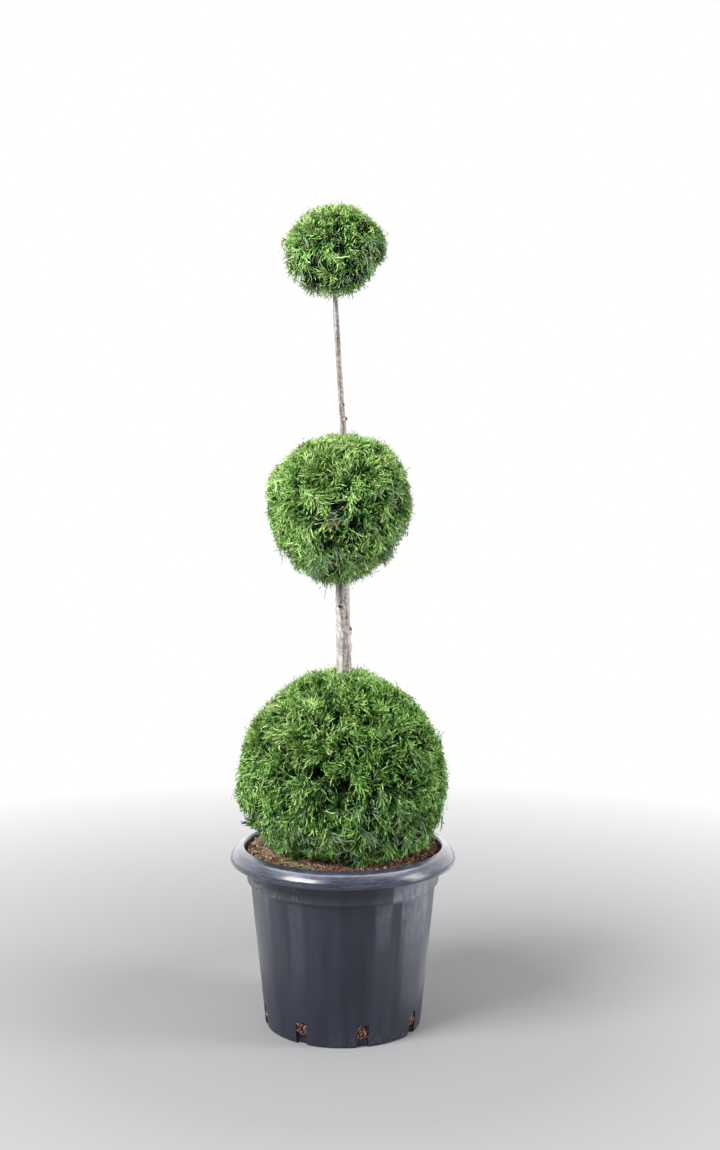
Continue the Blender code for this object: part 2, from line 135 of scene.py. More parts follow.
@dataclass
class Shader(Nodes):
    """A material under construction."""

    name: str
    tree: bpy.types.NodeTree = field(init=False)
    material: Material = field(init=False)

    def __post_init__(self) -> None:
        """Starts the material with its Principled node."""
        self.material = bpy.data.materials.new(self.name)
        self.material.use_nodes = True
        self.tree = self.material.node_tree
        self.principled = self.tree.nodes["Principled BSDF"]

    def set(self, **values: object) -> None:
        """Sets the Principled node's own sockets.

        Args:
            values: socket names with underscores for spaces, and their constants.
        """
        for name, value in values.items():
            socket = self.principled.inputs[name.replace("_", " ")]
            socket.default_value = (*value, 1) if isinstance(value, tuple) else value

    def place(self, stretch: Sequence[float] = (1, 1, 1)) -> Socket:
        """The object's own coordinates, scaled along each axis.

        Args:
            stretch: the scale along X, Y and Z.

        Returns:
            The scaled coordinates.
        """
        mapping = self.add("Mapping")
        mapping.inputs["Scale"].default_value = tuple(stretch)
        self.link(self.add("TexCoord").outputs["Object"], mapping, "Vector")
        return mapping.outputs["Vector"]

    def noise(self, scale: float, stretch: Triple, detail: float, rough: float) -> Socket:
        """A noise value in the object's coordinates.

        Args:
            scale: lumps a metre.
            stretch: the scale along each axis.
            detail: the number of finer octaves.
            rough: how strong each finer octave is.

        Returns:
            The noise, from 0 to 1.
        """
        node = self.add("TexNoise")
        node.inputs["Scale"].default_value = scale
        node.inputs["Detail"].default_value = detail
        node.inputs["Roughness"].default_value = rough
        self.link(self.place(stretch), node, "Vector")
        return node.outputs["Fac"]

    def ramp(self, value: Socket, stops: Sequence[tuple[float, Colour]]) -> Socket:
        """A colour for each value, blended between stops.

        Args:
            value: the value to look up.
            stops: (value, colour) pairs in rising order.

        Returns:
            The colour.
        """
        node = self.add("ValToRGB")
        elements = node.color_ramp.elements
        while len(elements) < len(stops):
            elements.new(1)
        for element, (position, colour) in zip(elements, stops):
            element.position = position
            element.color = (*colour, 1)
        self.link(value, node, "Fac")
        return node.outputs["Color"]

    def math(self, operation: str, first: Socket, second: Socket | float) -> Socket:
        """Two values put together.

        Args:
            operation: the Math node's operation.
            first: the first value.
            second: the second value, or a number.

        Returns:
            The result.
        """
        node = self.add("Math")
        node.operation = operation
        self.link(first, node, 0)
        if isinstance(second, (int, float)):
            node.inputs[1].default_value = second
        else:
            self.link(second, node, 1)
        return node.outputs["Value"]

    def total(self, *parts: tuple[Socket, float]) -> Socket:
        """The sum of several values, each times its weight."""
        first, *others = [self.math("MULTIPLY", value, weight) for value, weight in parts]
        for other in others:
            first = self.math("ADD", first, other)
        return first

    def mix(self, share: Socket, first: Socket | Colour, second: Socket | Colour) -> Socket:
        """Two colours blended by a share.

        Args:
            share: 0 for the first colour and 1 for the second.
            first: a colour or a colour socket.
            second: a colour or a colour socket.

        Returns:
            The blended colour.
        """
        node = self.add("Mix")
        node.data_type = "RGBA"
        self.link(share, node, 0)
        for socket, colour in ((6, first), (7, second)):
            if isinstance(colour, tuple):
                node.inputs[socket].default_value = (*colour, 1)
            else:
                self.link(colour, node, socket)
        return node.outputs[2]

    def attribute(self, name: str) -> Socket:
        """A number that the mesh holds at each point."""
        node = self.add("Attribute")
        node.attribute_name = name
        return node.outputs["Fac"]

    def bump(self, height: Socket, strength: float, distance: float) -> None:
        """Roughens the surface.

        Args:
            height: the height at each place, from 0 to 1.
            strength: how strongly it shows.
            distance: how high 1 is, in metres.
        """
        node = self.add("Bump")
        node.inputs["Strength"].default_value = strength
        node.inputs["Distance"].default_value = distance
        self.link(height, node, "Height")
        self.link(node.outputs["Normal"], self.principled, "Normal")


# Finishes


@dataclass(frozen=True)
class PlainFinish:
    """One even colour of foliage, twig or litter, dealt out by spray or by bit."""

    name: str
    colour: Colour
    roughness: float = 0.55
    specular: float = 0.30

    def material(self) -> Material:
        """The finish as a material."""
        shader = Shader(self.name)
        shader.set(Base_Color=self.colour, Roughness=self.roughness, Specular_IOR_Level=self.specular)
        return shader.material


class PlainFinishes(Enum):
    """A set of plain finishes. Their order is the order of the slots of a mesh."""

    @property
    def slot(self) -> int:
        """The number of its slot."""
        return list(type(self)).index(self)

    @classmethod
    def materials(cls) -> list[Material]:
        """All of them as materials, slot by slot."""
        return [finish.value.material() for finish in cls]


class Tint(PlainFinishes):
    """The plain colours that foliage is dealt out in."""

    PALE = PlainFinish("leaf_pale", (0.440, 0.610, 0.225), 0.55, 0.18)
    LIME = PlainFinish("leaf_lime", (0.255, 0.465, 0.100), 0.55, 0.18)
    FRESH = PlainFinish("leaf_fresh", (0.146, 0.335, 0.056), 0.55, 0.18)
    GRASS = PlainFinish("leaf_grass", (0.080, 0.212, 0.036), 0.55, 0.18)
    MOSS = PlainFinish("leaf_moss", (0.041, 0.113, 0.025), 0.55, 0.16)
    DEEP = PlainFinish("leaf_deep", (0.018, 0.049, 0.014), 0.60, 0.16)
    # Near black: painted shade for the deepest blades and for most sprays inside the balls
    SHADE = PlainFinish("leaf_shade", (0.006, 0.013, 0.006), 0.65, 0.14)
    SILVER = PlainFinish("leaf_silver", (0.170, 0.255, 0.150), 0.55, 0.18)
    STRAW = PlainFinish("leaf_straw", (0.360, 0.300, 0.170), 0.60, 0.20)
    RUSSET = PlainFinish("leaf_russet", (0.115, 0.075, 0.042), 0.70, 0.15)


class Litter(PlainFinishes):
    """The plain colours of the loose bits on the compost."""

    RUST = PlainFinish("litter_rust", (0.235, 0.110, 0.070), 0.9, 0.2)
    UMBER = PlainFinish("litter_umber", (0.130, 0.068, 0.048), 0.9, 0.2)
    PEAT = PlainFinish("litter_peat", (0.045, 0.026, 0.020), 0.9, 0.2)
    FIBRE = PlainFinish("litter_fibre", (0.430, 0.300, 0.220), 0.8, 0.2)
    DRY_LEAF = PlainFinish("litter_dry_leaf", (0.420, 0.370, 0.170), 0.7, 0.2)
    GREEN_LEAF = PlainFinish("litter_green_leaf", (0.205, 0.220, 0.090), 0.7, 0.2)
    ROOT = PlainFinish("litter_root", (0.250, 0.120, 0.100), 0.9, 0.2)


BOUGH_FINISH = PlainFinish("bough_bark", (0.150, 0.105, 0.075), 0.85, 0.2)
TWIG_FINISH = PlainFinish("twig_bark", (0.120, 0.105, 0.070), 0.75, 0.2)


@dataclass(frozen=True)
class BarkFinish:
    """Pale grey-brown bark in long upright strips, darker where it is sunk and along a stripe of painted
    shade.
    """

    name: str = "stem_bark"
    knot: Colour = (0.030, 0.026, 0.025)
    crevice: Colour = (0.098, 0.084, 0.082)
    middle: Colour = (0.285, 0.252, 0.238)
    pale: Colour = (0.540, 0.510, 0.485)
    # Where each of these colours stands on the sum of relief and noises, and the noises themselves
    levels: tuple[float, ...] = (0.28, 0.42, 0.62, 0.88)
    strips: NoiseSetting = (90, (1, 1, 0.15), 5, 0.65)
    bands: NoiseSetting = (150, (0.5, 0.5, 1.6), 4, 0.65)
    flecks: NoiseSetting = (420, (1, 1, 0.6), 4, 0.6)

    def material(self) -> Material:
        """The finish as a material."""
        shader = Shader(self.name)
        strips, bands, flecks = (shader.noise(*noise) for noise in (self.strips, self.bands, self.flecks))
        # The relief attribute holds the bark's tone, with the stem's stripe of painted shade
        height = shader.attribute("relief")
        blend = shader.total((strips, 0.24), (height, 0.55), (bands, 0.48), (flecks, 0.20))
        stops = tuple(zip(self.levels, (self.knot, self.crevice, self.middle, self.pale)))
        shader.link(shader.ramp(blend, stops), shader.principled, "Base Color")
        shader.set(Roughness=0.85, Specular_IOR_Level=0.25)
        shader.bump(shader.math("ADD", bands, flecks), 0.8, 0.0010)
        return shader.material


@dataclass(frozen=True)
class PlasticFinish:
    """Black moulded plastic with a soft sheen, faint streaks and a paler, smoother rim, with upright bands of
    painted reflection mottled like dried bloom, a painted highlight line on the collar's foot and a band of
    painted dark reflection.
    """

    name: str = "pot_plastic"
    dark: Colour = (0.012, 0.015, 0.028)
    dusty: Colour = (0.021, 0.025, 0.042)
    handled: Colour = (0.024, 0.028, 0.046)
    chalky: Colour = (0.066, 0.074, 0.106)
    worn: Colour = (0.380, 0.400, 0.440)
    # Painted reflection: the tint of the pale bands, mottled like dried bloom, and of the highlight line
    bloomed: Colour = (0.155, 0.180, 0.222)
    # Painted dark reflection: the tint of a darker band low on the front
    clean: Colour = (0.004, 0.006, 0.016)
    streaks: NoiseSetting = (42, (1, 1, 0.05), 3, 0.5)
    scratches: NoiseSetting = (260, (1, 1, 0.5), 4, 0.7)
    mottle: NoiseSetting = (75, (1, 1, 0.6), 4, 0.65)
    lines: NoiseSetting = (48, (1, 1, 7), 4, 0.6)
    grain: NoiseSetting = (90, (1, 1, 0.15), 2, 0.5)

    def material(self) -> Material:
        """The finish as a material."""
        shader = Shader(self.name)
        streaks = shader.span(shader.noise(*self.streaks), 0.35, 0.70, 0, 1)
        rim, scuffs = shader.attribute("rim"), shader.attribute("scuff")
        scratches = shader.span(shader.noise(*self.scratches), 0.54, 0.64, 0, 1)
        worn = shader.math("MULTIPLY", scuffs, scratches)
        # Painted dark reflection darkens a band of the body
        body = shader.mix(shader.attribute("clean"), shader.mix(streaks, self.dark, self.dusty), self.clean)
        mottle = shader.span(shader.noise(*self.mottle), 0.30, 0.70, 0.20, 1.15)
        # Painted reflection bands, mottled like bloom, lighten the body
        body = shader.mix(shader.math("MULTIPLY", shader.attribute("bloom"), mottle), body, self.bloomed)
        lines = shader.noise(*self.lines)
        lip = shader.mix(shader.span(lines, 0.42, 0.72, 0, 1), self.handled, self.chalky)
        colour = shader.mix(worn, shader.mix(rim, body, lip), self.worn)
        shader.link(colour, shader.principled, "Base Color")
        rough = shader.total((shader.span(streaks, 0, 1, 0.36, 0.42), 1), (scuffs, 0.15), (rim, -0.14))
        shader.link(rough, shader.principled, "Roughness")
        shader.set(Specular_IOR_Level=0.50)
        grain = shader.math("MULTIPLY", shader.noise(*self.grain), 0.25)
        shader.bump(shader.math("ADD", grain, shader.math("MULTIPLY", lines, rim)), 0.40, 0.0004)
        return shader.material


@dataclass(frozen=True)
class CompostFinish:
    """Damp brown coir and bark compost, crumbly all over, with painted shade on its side below the top."""

    name: str = "compost"
    dark: Colour = (0.035, 0.016, 0.011)
    middle: Colour = (0.120, 0.052, 0.030)
    light: Colour = (0.250, 0.120, 0.070)
    crumbs: NoiseSetting = (420, (1, 1, 1), 6, 0.7)
    lumps: NoiseSetting = (90, (1, 1, 1), 3, 0.5)

    def material(self) -> Material:
        """The finish as a material."""
        shader = Shader(self.name)
        crumbs, lumps = shader.noise(*self.crumbs), shader.noise(*self.lumps)
        # The sunk attribute paints shade on the side below the top
        blend = shader.total((crumbs, 0.7), (lumps, 0.3), (shader.attribute("sunk"), -0.14))
        stops = ((0.36, self.dark), (0.52, self.middle), (0.66, self.light))
        shader.link(shader.ramp(blend, stops), shader.principled, "Base Color")
        shader.set(Roughness=0.95, Specular_IOR_Level=0.2)
        shader.bump(crumbs, 0.9, 0.0015)
        return shader.material


# Geometry helpers


def unit(vectors: Points) -> Points:
    """Vectors of length 1 along the last axis."""
    return vectors / np.maximum(np.linalg.norm(vectors, axis=-1, keepdims=True), 1e-12)


def golden_directions(count: int, turn: float, jitter: float, chance: Chance) -> Points:
    """Unit directions spread evenly over a ball by the golden angle, each a little off.

    Args:
        count: how many.
        turn: the bearing of the first, in radians.
        jitter: how far each may be off, as a share of the radius.
        chance: the random numbers.

    Returns:
        An array of count directions.
    """
    k = np.arange(count)
    z = 1 - 2 * (k + 0.5) / count
    flat = np.sqrt(1 - z * z)
    bearing = k * GOLDEN_ANGLE + turn
    even = np.stack((flat * np.cos(bearing), flat * np.sin(bearing), z), axis=1)
    return unit(even + chance.uniform(-jitter, jitter, (count, 3)))


def direction_to(bearing: Points | float, elevation: Points | float) -> Points:
    """Unit directions from bearings and elevations in degrees."""
    turn, tilt = np.radians(bearing), np.radians(elevation)
    return np.stack((np.cos(tilt) * np.cos(turn), np.cos(tilt) * np.sin(turn), np.sin(tilt)), axis=-1)


def level_direction(angle: Points) -> Points:
    """Level unit directions from angles in radians."""
    return np.stack((np.cos(angle), np.sin(angle), np.zeros_like(angle)), axis=-1)


def ring_angles(steps: int) -> Points:
    """Angles once round, in equal steps."""
    return np.arange(steps) * math.tau / steps


def degrees_off(angle: Points, bearing: Points | float) -> Points:
    """How far angles in radians are turned from a bearing, in degrees from -180 to 180."""
    return (np.degrees(angle) - bearing + 180) % 360 - 180


def square_to(along: Points, vectors: Points) -> Points:
    """What is left of vectors when their part along unit directions is taken away."""
    return vectors - along * np.sum(vectors * along, axis=-1, keepdims=True)


def bell(value: Points, half_width: float) -> Points:
    """1 where a value is 0, and down to nothing on both sides."""
    return np.exp(-((value / half_width) ** 2))


def smooth_step(value: Points, low: float, high: float) -> Points:
    """A value eased from 0 at low to 1 at high."""
    share = np.clip((value - low) / (high - low), 0, 1)
    return share * share * (3 - 2 * share)


def noise_at(points: Points, scale: Sequence[float]) -> Points:
    """Perlin noise at each point.

    Args:
        points: the places.
        scale: lumps a metre along each axis.

    Returns:
        One number a point, from about -1 to 1.
    """
    scaled = points * np.asarray(scale)
    flat = scaled.reshape(-1, 3)
    return np.fromiter(map(noise.noise, flat.tolist()), float, len(flat)).reshape(points.shape[:-1])


def noise_sum(points: Points, layers: NoiseLayers) -> Points:
    """Several noises added up, each given by its scale and its weight."""
    return sum(weight * noise_at(points, scale) for scale, weight in layers)


def slots_of(finishes: Sequence[PlainFinishes]) -> Points:
    """The slot number of each finish."""
    return np.array([finish.slot for finish in finishes])


def dealt(choice: Sequence[PlainFinishes], count: int, chance: Chance) -> Points:
    """Slot numbers dealt out at random from a choice of finishes."""
    return slots_of(choice)[chance.integers(0, len(choice), count)]


def mesh_object(
    name: str,
    points: Points,
    faces: Points,
    materials: Sequence[Material],
    slots: Points | None = None,
    smooth: bool = True,
) -> Piece:
    """A mesh object from arrays.

    Args:
        name: the object's name.
        points: its points.
        faces: its faces, all of three or all of four corners.
        materials: its materials.
        slots: each face's material number, or None where there is one.
        smooth: whether it is shaded smooth.

    Returns:
        The new object, linked to the scene.
    """
    sides = faces.shape[1]
    mesh = bpy.data.meshes.new(name)
    mesh.vertices.add(len(points))
    mesh.vertices.foreach_set("co", points.astype(np.float32).ravel())
    mesh.loops.add(faces.size)
    mesh.loops.foreach_set("vertex_index", faces.astype(np.int32).ravel())
    mesh.polygons.add(len(faces))
    mesh.polygons.foreach_set("loop_start", np.arange(0, faces.size, sides, dtype=np.int32))
    if slots is not None:
        mesh.polygons.foreach_set("material_index", slots.astype(np.int32))
    mesh.polygons.foreach_set("use_smooth", np.full(len(faces), smooth))
    mesh.update(calc_edges=True)
    mesh.validate()
    for material in materials:
        mesh.materials.append(material)
    obj = bpy.data.objects.new(name, mesh)
    bpy.context.scene.collection.objects.link(obj)
    return obj


def write_at_points(piece: Piece, name: str, values: Points) -> None:
    """Writes a number for each point of a mesh, as an attribute that its finish reads."""
    attribute = piece.data.attributes.new(name, "FLOAT", "POINT")
    attribute.data.foreach_set("value", values.astype(np.float32).ravel())


def close_ends(piece: Piece) -> None:
    """Closes the open ends of a turned mesh and turns all its faces outwards."""
    bm = bmesh.new()
    bm.from_mesh(piece.data)
    bmesh.ops.holes_fill(bm, edges=[edge for edge in bm.edges if edge.is_boundary], sides=0)
    bmesh.ops.recalc_face_normals(bm, faces=bm.faces)
    bm.to_mesh(piece.data)
    bm.free()


def grid_faces(rows: int, columns: int) -> Points:
    """Quads between rows of points that close on themselves round each row.

    Args:
        rows: the number of rows.
        columns: the number of points round a row.

    Returns:
        The faces, as point numbers.
    """
    row, column = np.meshgrid(np.arange(rows - 1), np.arange(columns), indexing="ij")
    beside = (column + 1) % columns
    here, there = row * columns, (row + 1) * columns
    return np.stack((here + column, here + beside, there + beside, there + column), axis=-1).reshape(-1, 4)


def tubes(paths: Points, radii: Points, sides: int) -> tuple[Points, Points]:
    """Round tubes along many paths at once.

    Args:
        paths: n paths of k points.
        radii: the radius at each of those points.
        sides: the number of sides.

    Returns:
        The points and the quads of all tubes.
    """
    count, stations = paths.shape[:2]
    tangent = unit(np.gradient(paths, axis=1))
    steep = np.abs(tangent[:, :1, 2:]) > 0.85
    aside = unit(np.cross(tangent, np.where(steep, (1.0, 0.0, 0.0), (0.0, 0.0, 1.0))))
    other = np.cross(tangent, aside)
    angle = ring_angles(sides)
    ring = aside[:, :, None] * np.cos(angle)[:, None] + other[:, :, None] * np.sin(angle)[:, None]
    points = paths[:, :, None] + ring * radii[:, :, None, None]
    faces = grid_faces(stations, sides)
    step = np.arange(count)[:, None, None] * stations * sides
    return points.reshape(-1, 3), (faces[None] + step).reshape(-1, 4)


def bent_paths(start: Points, control: Points, end: Points, stations: int) -> Points:
    """Quadratic curves of so many points from starts to ends, each drawn towards its control point."""
    t = np.linspace(0, 1, stations)[None, :, None]
    return (1 - t) ** 2 * start[:, None] + 2 * t * (1 - t) * control[:, None] + t**2 * end[:, None]


def dress(piece: Piece, slot: str, *nodes: str) -> None:
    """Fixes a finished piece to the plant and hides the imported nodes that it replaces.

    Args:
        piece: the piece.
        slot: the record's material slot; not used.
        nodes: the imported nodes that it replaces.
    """
    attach(piece, BODY)
    if nodes:
        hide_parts(*nodes)
    LOG.info("%s: %d faces", piece.name, len(piece.data.polygons))


# Trunk


@dataclass(frozen=True)
class Stub:
    """A pruned branch stub: bearing is in degrees from the right towards the back."""

    height: float
    bearing: float
    radius: float
    length: float


@dataclass(frozen=True)
class Trunk:
    """The whole stem, with its bark in relief, its groove with a stripe of painted shade down it, and its
    pruned stubs.
    """

    # Height, offset to the right, offset to the back, radius
    stations: tuple[tuple[float, float, float, float], ...] = (
        (0.3113, 0.001, 0, 0.031), (0.319, 0.001, 0, 0.0255), (0.339, 0.0012, 0, 0.0205),
        (0.385, 0.0015, 0.0005, 0.0178), (0.48, 0.003, 0.002, 0.0158), (0.636, 0.002, 0.001, 0.0136),
        (0.777, -0.001, 0, 0.0123), (0.94, -0.0015, -0.002, 0.0088), (1.063, 0.0006, 0, 0.0054),
        (1.11, -0.0026, 0.0005, 0.005), (1.212, -0.0088, 0.002, 0.0049), (1.306, -0.0137, 0.001, 0.0047),
        (1.425, -0.013, 0, 0.0022),
    )
    stubs: tuple[Stub, ...] = (
        Stub(0.7440, -106, 0.0056, 0.0022),
        Stub(0.7000, -20, 0.0035, 0.0040),
        Stub(0.6720, 15, 0.0030, 0.0030),
        Stub(1.0840, -25, 0.0030, 0.0040),
        Stub(1.1090, -60, 0.0024, 0.0035),
    )
    bare_stretches: tuple[Range, ...] = ((0.60, 0.80), (1.04, 1.33))
    fine_step: float = 0.0013
    coarse_step: float = 0.006
    sides: int = 56
    # Each noise in the bark counts lumps round the stem and up a metre of it
    plates: NoiseLayers = (((2.6, 2.6, 34), 1), ((5.0, 5.0, 85), 0.7))
    plate_edges: Range = (-0.35, 0.45)
    knobs: NoiseLayers = (((1.3, 1.3, 42), 1), ((2.2, 2.2, 130), 0.7))
    grain: Triple = (9, 9, 210)
    strip_relief: float = 0.050
    grain_relief: float = 0.030
    knob_relief: float = 0.085
    # The groove and the stripe of painted shade along it, in degrees, and the groove's depth in radii. Both
    # sway by so many degrees, at so many radians a metre
    groove_bearing: float = -88
    groove_width: float = 24
    groove_depth: float = 0.05
    groove_sway: Range = (10, 21)
    stripe_edges: tuple[float, ...] = (-30, -14, 22, 40)
    stripe_ragged: float = 16
    stripe_lumps: Triple = (1.6, 1.6, 70)
    # The heights over which the stem grows thin and dark
    thin_stem: Range = (1.00, 1.08)
    # The bark's tone and how far plates, grain and knobs move it. The stripe of painted shade takes off the
    # first of its numbers, less the second where the stem is thin, and a thin stem is darker all round
    tone: float = 0.57
    plate_tone: float = 0.34
    grain_tone: float = 0.24
    knob_tone: float = 0.16
    stripe_tone: Range = (0.41, 0.11)
    thin_tone: float = 0.29
    # How far the bark swells round a stub, in its radii, and by how much
    swell_reach: float = 1.9
    swell_rise: float = 0.22
    # Along a stub from inside the stem to its cut: shares of its reach and radius, and the tone
    stub_stations: tuple[Triple, ...] = (
        (0.25, 1.7, 0.55), (0.6, 1.35, 0.50), (0.9, 1.1, 0.2),
        (0.97, 1.0, -0.3), (0.97, 0.7, -0.5), (0.90, 0.02, -0.5),
    )
    stub_slope: float = 0.55
    stub_sides: int = 14
    stub_grain: float = 900
    stub_relief: float = 0.00025

    def at(self, heights: Points) -> tuple[Points, Points]:
        """The stem's middle and radius, on a smooth curve through its stations.

        Args:
            heights: the heights to read.

        Returns:
            The middles, as points, and the radii.
        """
        table = np.array(self.stations)
        heights = np.clip(heights, table[0, 0], table[-1, 0])
        k = np.clip(np.searchsorted(table[:, 0], heights, side="right") - 1, 0, len(table) - 2)
        before, after = np.maximum(k - 1, 0), np.minimum(k + 2, len(table) - 1)
        span = table[k + 1, 0] - table[k, 0]
        t = ((heights - table[k, 0]) / span)[..., None]
        rise_in = (table[k + 1, 1:] - table[before, 1:]) / (table[k + 1, 0] - table[before, 0])[..., None]
        rise_out = (table[after, 1:] - table[k, 1:]) / (table[after, 0] - table[k, 0])[..., None]
        values = (
            table[k, 1:] * (2 * t**3 - 3 * t**2 + 1)
            + rise_in * span[..., None] * (t**3 - 2 * t**2 + t)
            + table[k + 1, 1:] * (3 * t**2 - 2 * t**3)
            + rise_out * span[..., None] * (t**3 - t**2)
        )
        middles = np.concatenate((values[..., :2], heights[..., None]), axis=-1)
        return middles, values[..., 2]

    def ring_heights(self) -> Points:
        """The height of each ring of points, close together where the stem is bare."""
        heights = [self.stations[0][0]]
        while heights[-1] < self.stations[-1][0]:
            bare = any(low < heights[-1] < high for low, high in self.bare_stretches)
            heights.append(heights[-1] + (self.fine_step if bare else self.coarse_step))
        return np.array(heights[:-1] + [self.stations[-1][0]])

    def relief(self, angle: Points, height: Points) -> tuple[Points, Points]:
        """The bark's height above the plain round stem.

        Args:
            angle: the bearing of each point, in radians.
            height: its height.

        Returns:
            The height as a share of the radius, and the bark's tone from 0 to 1 for the colour, with its
            stripe of painted shade.
        """
        round_stem = level_direction(angle) + UP * height[..., None]
        plates = smooth_step(noise_sum(round_stem, self.plates), *self.plate_edges)
        grain, knobs = noise_at(round_stem, self.grain), noise_sum(round_stem, self.knobs)
        sway, waves = self.groove_sway
        away = degrees_off(angle, self.groove_bearing + sway * np.sin(height * waves))
        share = self.strip_relief * (plates - 0.5) + self.grain_relief * grain + self.knob_relief * knobs
        share = share - self.groove_depth * bell(away, self.groove_width)
        for stub in self.stubs:
            _, radius = self.at(np.array([stub.height]))
            across = np.radians(degrees_off(angle, stub.bearing)) * radius
            distance = np.hypot(across, height - stub.height)
            share = share + self.swell_rise * bell(distance, self.swell_reach * stub.radius)
        # Painted shade: a dark stripe down the stem's front, between its paler lit sides
        ragged = away + self.stripe_ragged * noise_at(round_stem, self.stripe_lumps)
        shade_stripe = smooth_step(ragged, *self.stripe_edges[:2])
        shade_stripe = shade_stripe * (1 - smooth_step(ragged, *self.stripe_edges[2:]))
        thin = smooth_step(height, *self.thin_stem)
        full, less = self.stripe_tone
        tone = self.tone + self.plate_tone * (plates - 0.5) - (full - less * thin) * shade_stripe
        tone = tone - self.thin_tone * thin + self.grain_tone * grain + self.knob_tone * knobs
        return share, np.clip(tone, 0, 1)

    def stub_object(self, stub: Stub, material: Material) -> Piece:
        """A stub that leaves the stem at a slant and ends in a rough cut.

        Args:
            stub: its sizes.
            material: its finish.

        Returns:
            The stub.
        """
        middles, radii = self.at(np.array([stub.height]))
        out = unit(direction_to(stub.bearing, 0.0) + UP * self.stub_slope)
        reach = radii[0] + stub.length
        share, width, tone = np.array(self.stub_stations).T
        path = middles + out * reach * share[:, None]
        points, faces = tubes(path[None], stub.radius * width[None], self.stub_sides)
        points = points + self.stub_relief * noise_at(points, (self.stub_grain,) * 3)[:, None]
        piece = mesh_object("stub", points, faces, [material])
        write_at_points(piece, "relief", np.repeat(tone, self.stub_sides))
        return piece

    def build(self) -> None:
        """The stem with its bark and stubs, as one piece."""
        heights = self.ring_heights()
        angles, levels = np.meshgrid(ring_angles(self.sides), heights)
        middles, radii = self.at(levels)
        share, tone = self.relief(angles, levels)
        points = middles + level_direction(angles) * (radii * (1 + share))[..., None]
        material = BarkFinish().material()
        stem = mesh_object("stem", points.reshape(-1, 3), grid_faces(len(heights), self.sides), [material])
        # The tone carries the stripe of painted shade down the stem's front
        write_at_points(stem, "relief", tone)
        stubs = [self.stub_object(stub, material) for stub in self.stubs]
        with bpy.context.temp_override(active_object=stem, selected_editable_objects=[stem, *stubs]):
            bpy.ops.object.join()
        dress(stem, "bark", "trunk")


# Foliage


@dataclass
class Rows:
    """Arrays of one length, with a row in each for every fan or blade."""

    def kept(self, rows: Points) -> Self:
        """The rows that a mask marks or a list names."""
        return type(self)(*(getattr(self, entry.name)[rows] for entry in fields(self)))

    @classmethod
    def joined(cls, groups: Sequence[Self]) -> Self:
        """All rows of several groups."""
        names = [entry.name for entry in fields(cls)]
        return cls(*(np.concatenate([getattr(group, name) for group in groups]) for name in names))


@dataclass
class Placement(Rows):
    """Where copies of a fan go: foot, direction of the stem and across it, bend, length and tint."""

    roots: Points
    along: Points
    across: Points
    bend: Points
    lengths: Points
    tint: Points


@dataclass
class Blades(Rows):
    """Many single fingers of foliage: where each starts, is widest and ends, and its two tints."""

    base: Points
    middle: Points
    tip: Points
    aside: Points
    width: Points
    foot_slot: Points
    tip_slot: Points
    # The foot's width as a share of the widest, and the corners of the three triangles
    foot_share: ClassVar[float] = 0.7
    triangles: ClassVar[tuple[tuple[int, int, int], ...]] = ((0, 1, 2), (0, 2, 3), (3, 2, 4))

    def mesh_parts(self) -> Mesh:
        """Three triangles a blade: a narrow foot, a wide middle and a short point.

        Returns:
            The points, the triangles and each triangle's material slot.
        """
        half = self.aside * (self.width / 2)[:, None]
        foot = half * self.foot_share
        outline = (self.base - foot, self.base + foot, self.middle + half, self.middle - half, self.tip)
        points = np.stack(outline, axis=1)
        faces = np.array(self.triangles)[None] + len(outline) * np.arange(len(points))[:, None, None]
        slots = np.stack((self.foot_slot, self.foot_slot, self.tip_slot), axis=1)
        return points.reshape(-1, 3), faces.reshape(-1, 3), slots.ravel()


@dataclass(frozen=True)
class SprayPattern:
    """One flat fan of foliage as blades in its own plane, in shares of its length."""

    base: Points
    tip: Points
    width: Points
    curl: Points
    finger_width: ClassVar[float] = 0.0019
    widest_place: ClassVar[float] = 0.56
    most_cup: ClassVar[float] = 0.6
    lift_spread: ClassVar[float] = 0.035
    # The share of a blade's lift at its foot, where it is widest and at its tip
    lift_shares: ClassVar[Triple] = (0.0, 1.3, 1.0)
    tilt_spread: ClassVar[float] = 0.50
    width_range: ClassVar[Range] = (0.8, 1.2)

    def placed(self, where: Placement, chance: Chance) -> Blades:
        """All copies of the fan, each set in its place and bent.

        Args:
            where: the place of each copy.
            chance: the random numbers.

        Returns:
            The blades of all copies.
        """
        copies, blades = len(where.roots), len(self.width)
        above = np.cross(where.along, where.across)
        cup = chance.uniform(-self.most_cup, self.most_cup, (copies, 1))
        lift = chance.normal(0, self.lift_spread, (copies, blades))

        def spot(flat: Points, share: float) -> Points:
            """The place in space of flat points, at a share of each blade's lift."""
            x, y = flat[:, 0], flat[:, 1]
            z = cup * y**2 + lift * share
            local = (
                x[:, None] * where.along[:, None]
                + y[:, None] * where.across[:, None]
                + z[..., None] * above[:, None]
                + (x**2)[:, None] * where.bend[:, None]
            )
            return where.roots[:, None] + local * where.lengths[:, None, None]

        run = self.tip - self.base
        square = np.stack((-run[:, 1], run[:, 0]), axis=1)
        widest = self.base + self.widest_place * run + square * self.curl[:, None]
        base, middle, tip = map(spot, (self.base, widest, self.tip), self.lift_shares)
        direction = unit(tip - base)
        flat_side = unit(np.cross(above[:, None], direction))
        tilt = chance.normal(0, self.tilt_spread, (copies, blades, 1))
        aside = flat_side * np.cos(tilt) + np.cross(direction, flat_side) * np.sin(tilt)
        width = self.finger_width * self.width * chance.uniform(*self.width_range, (copies, blades))
        slot = np.repeat(where.tint, blades)
        parts = (part.reshape(-1, 3) for part in (base, middle, tip, aside))
        return Blades(*parts, width.ravel(), slot, slot)


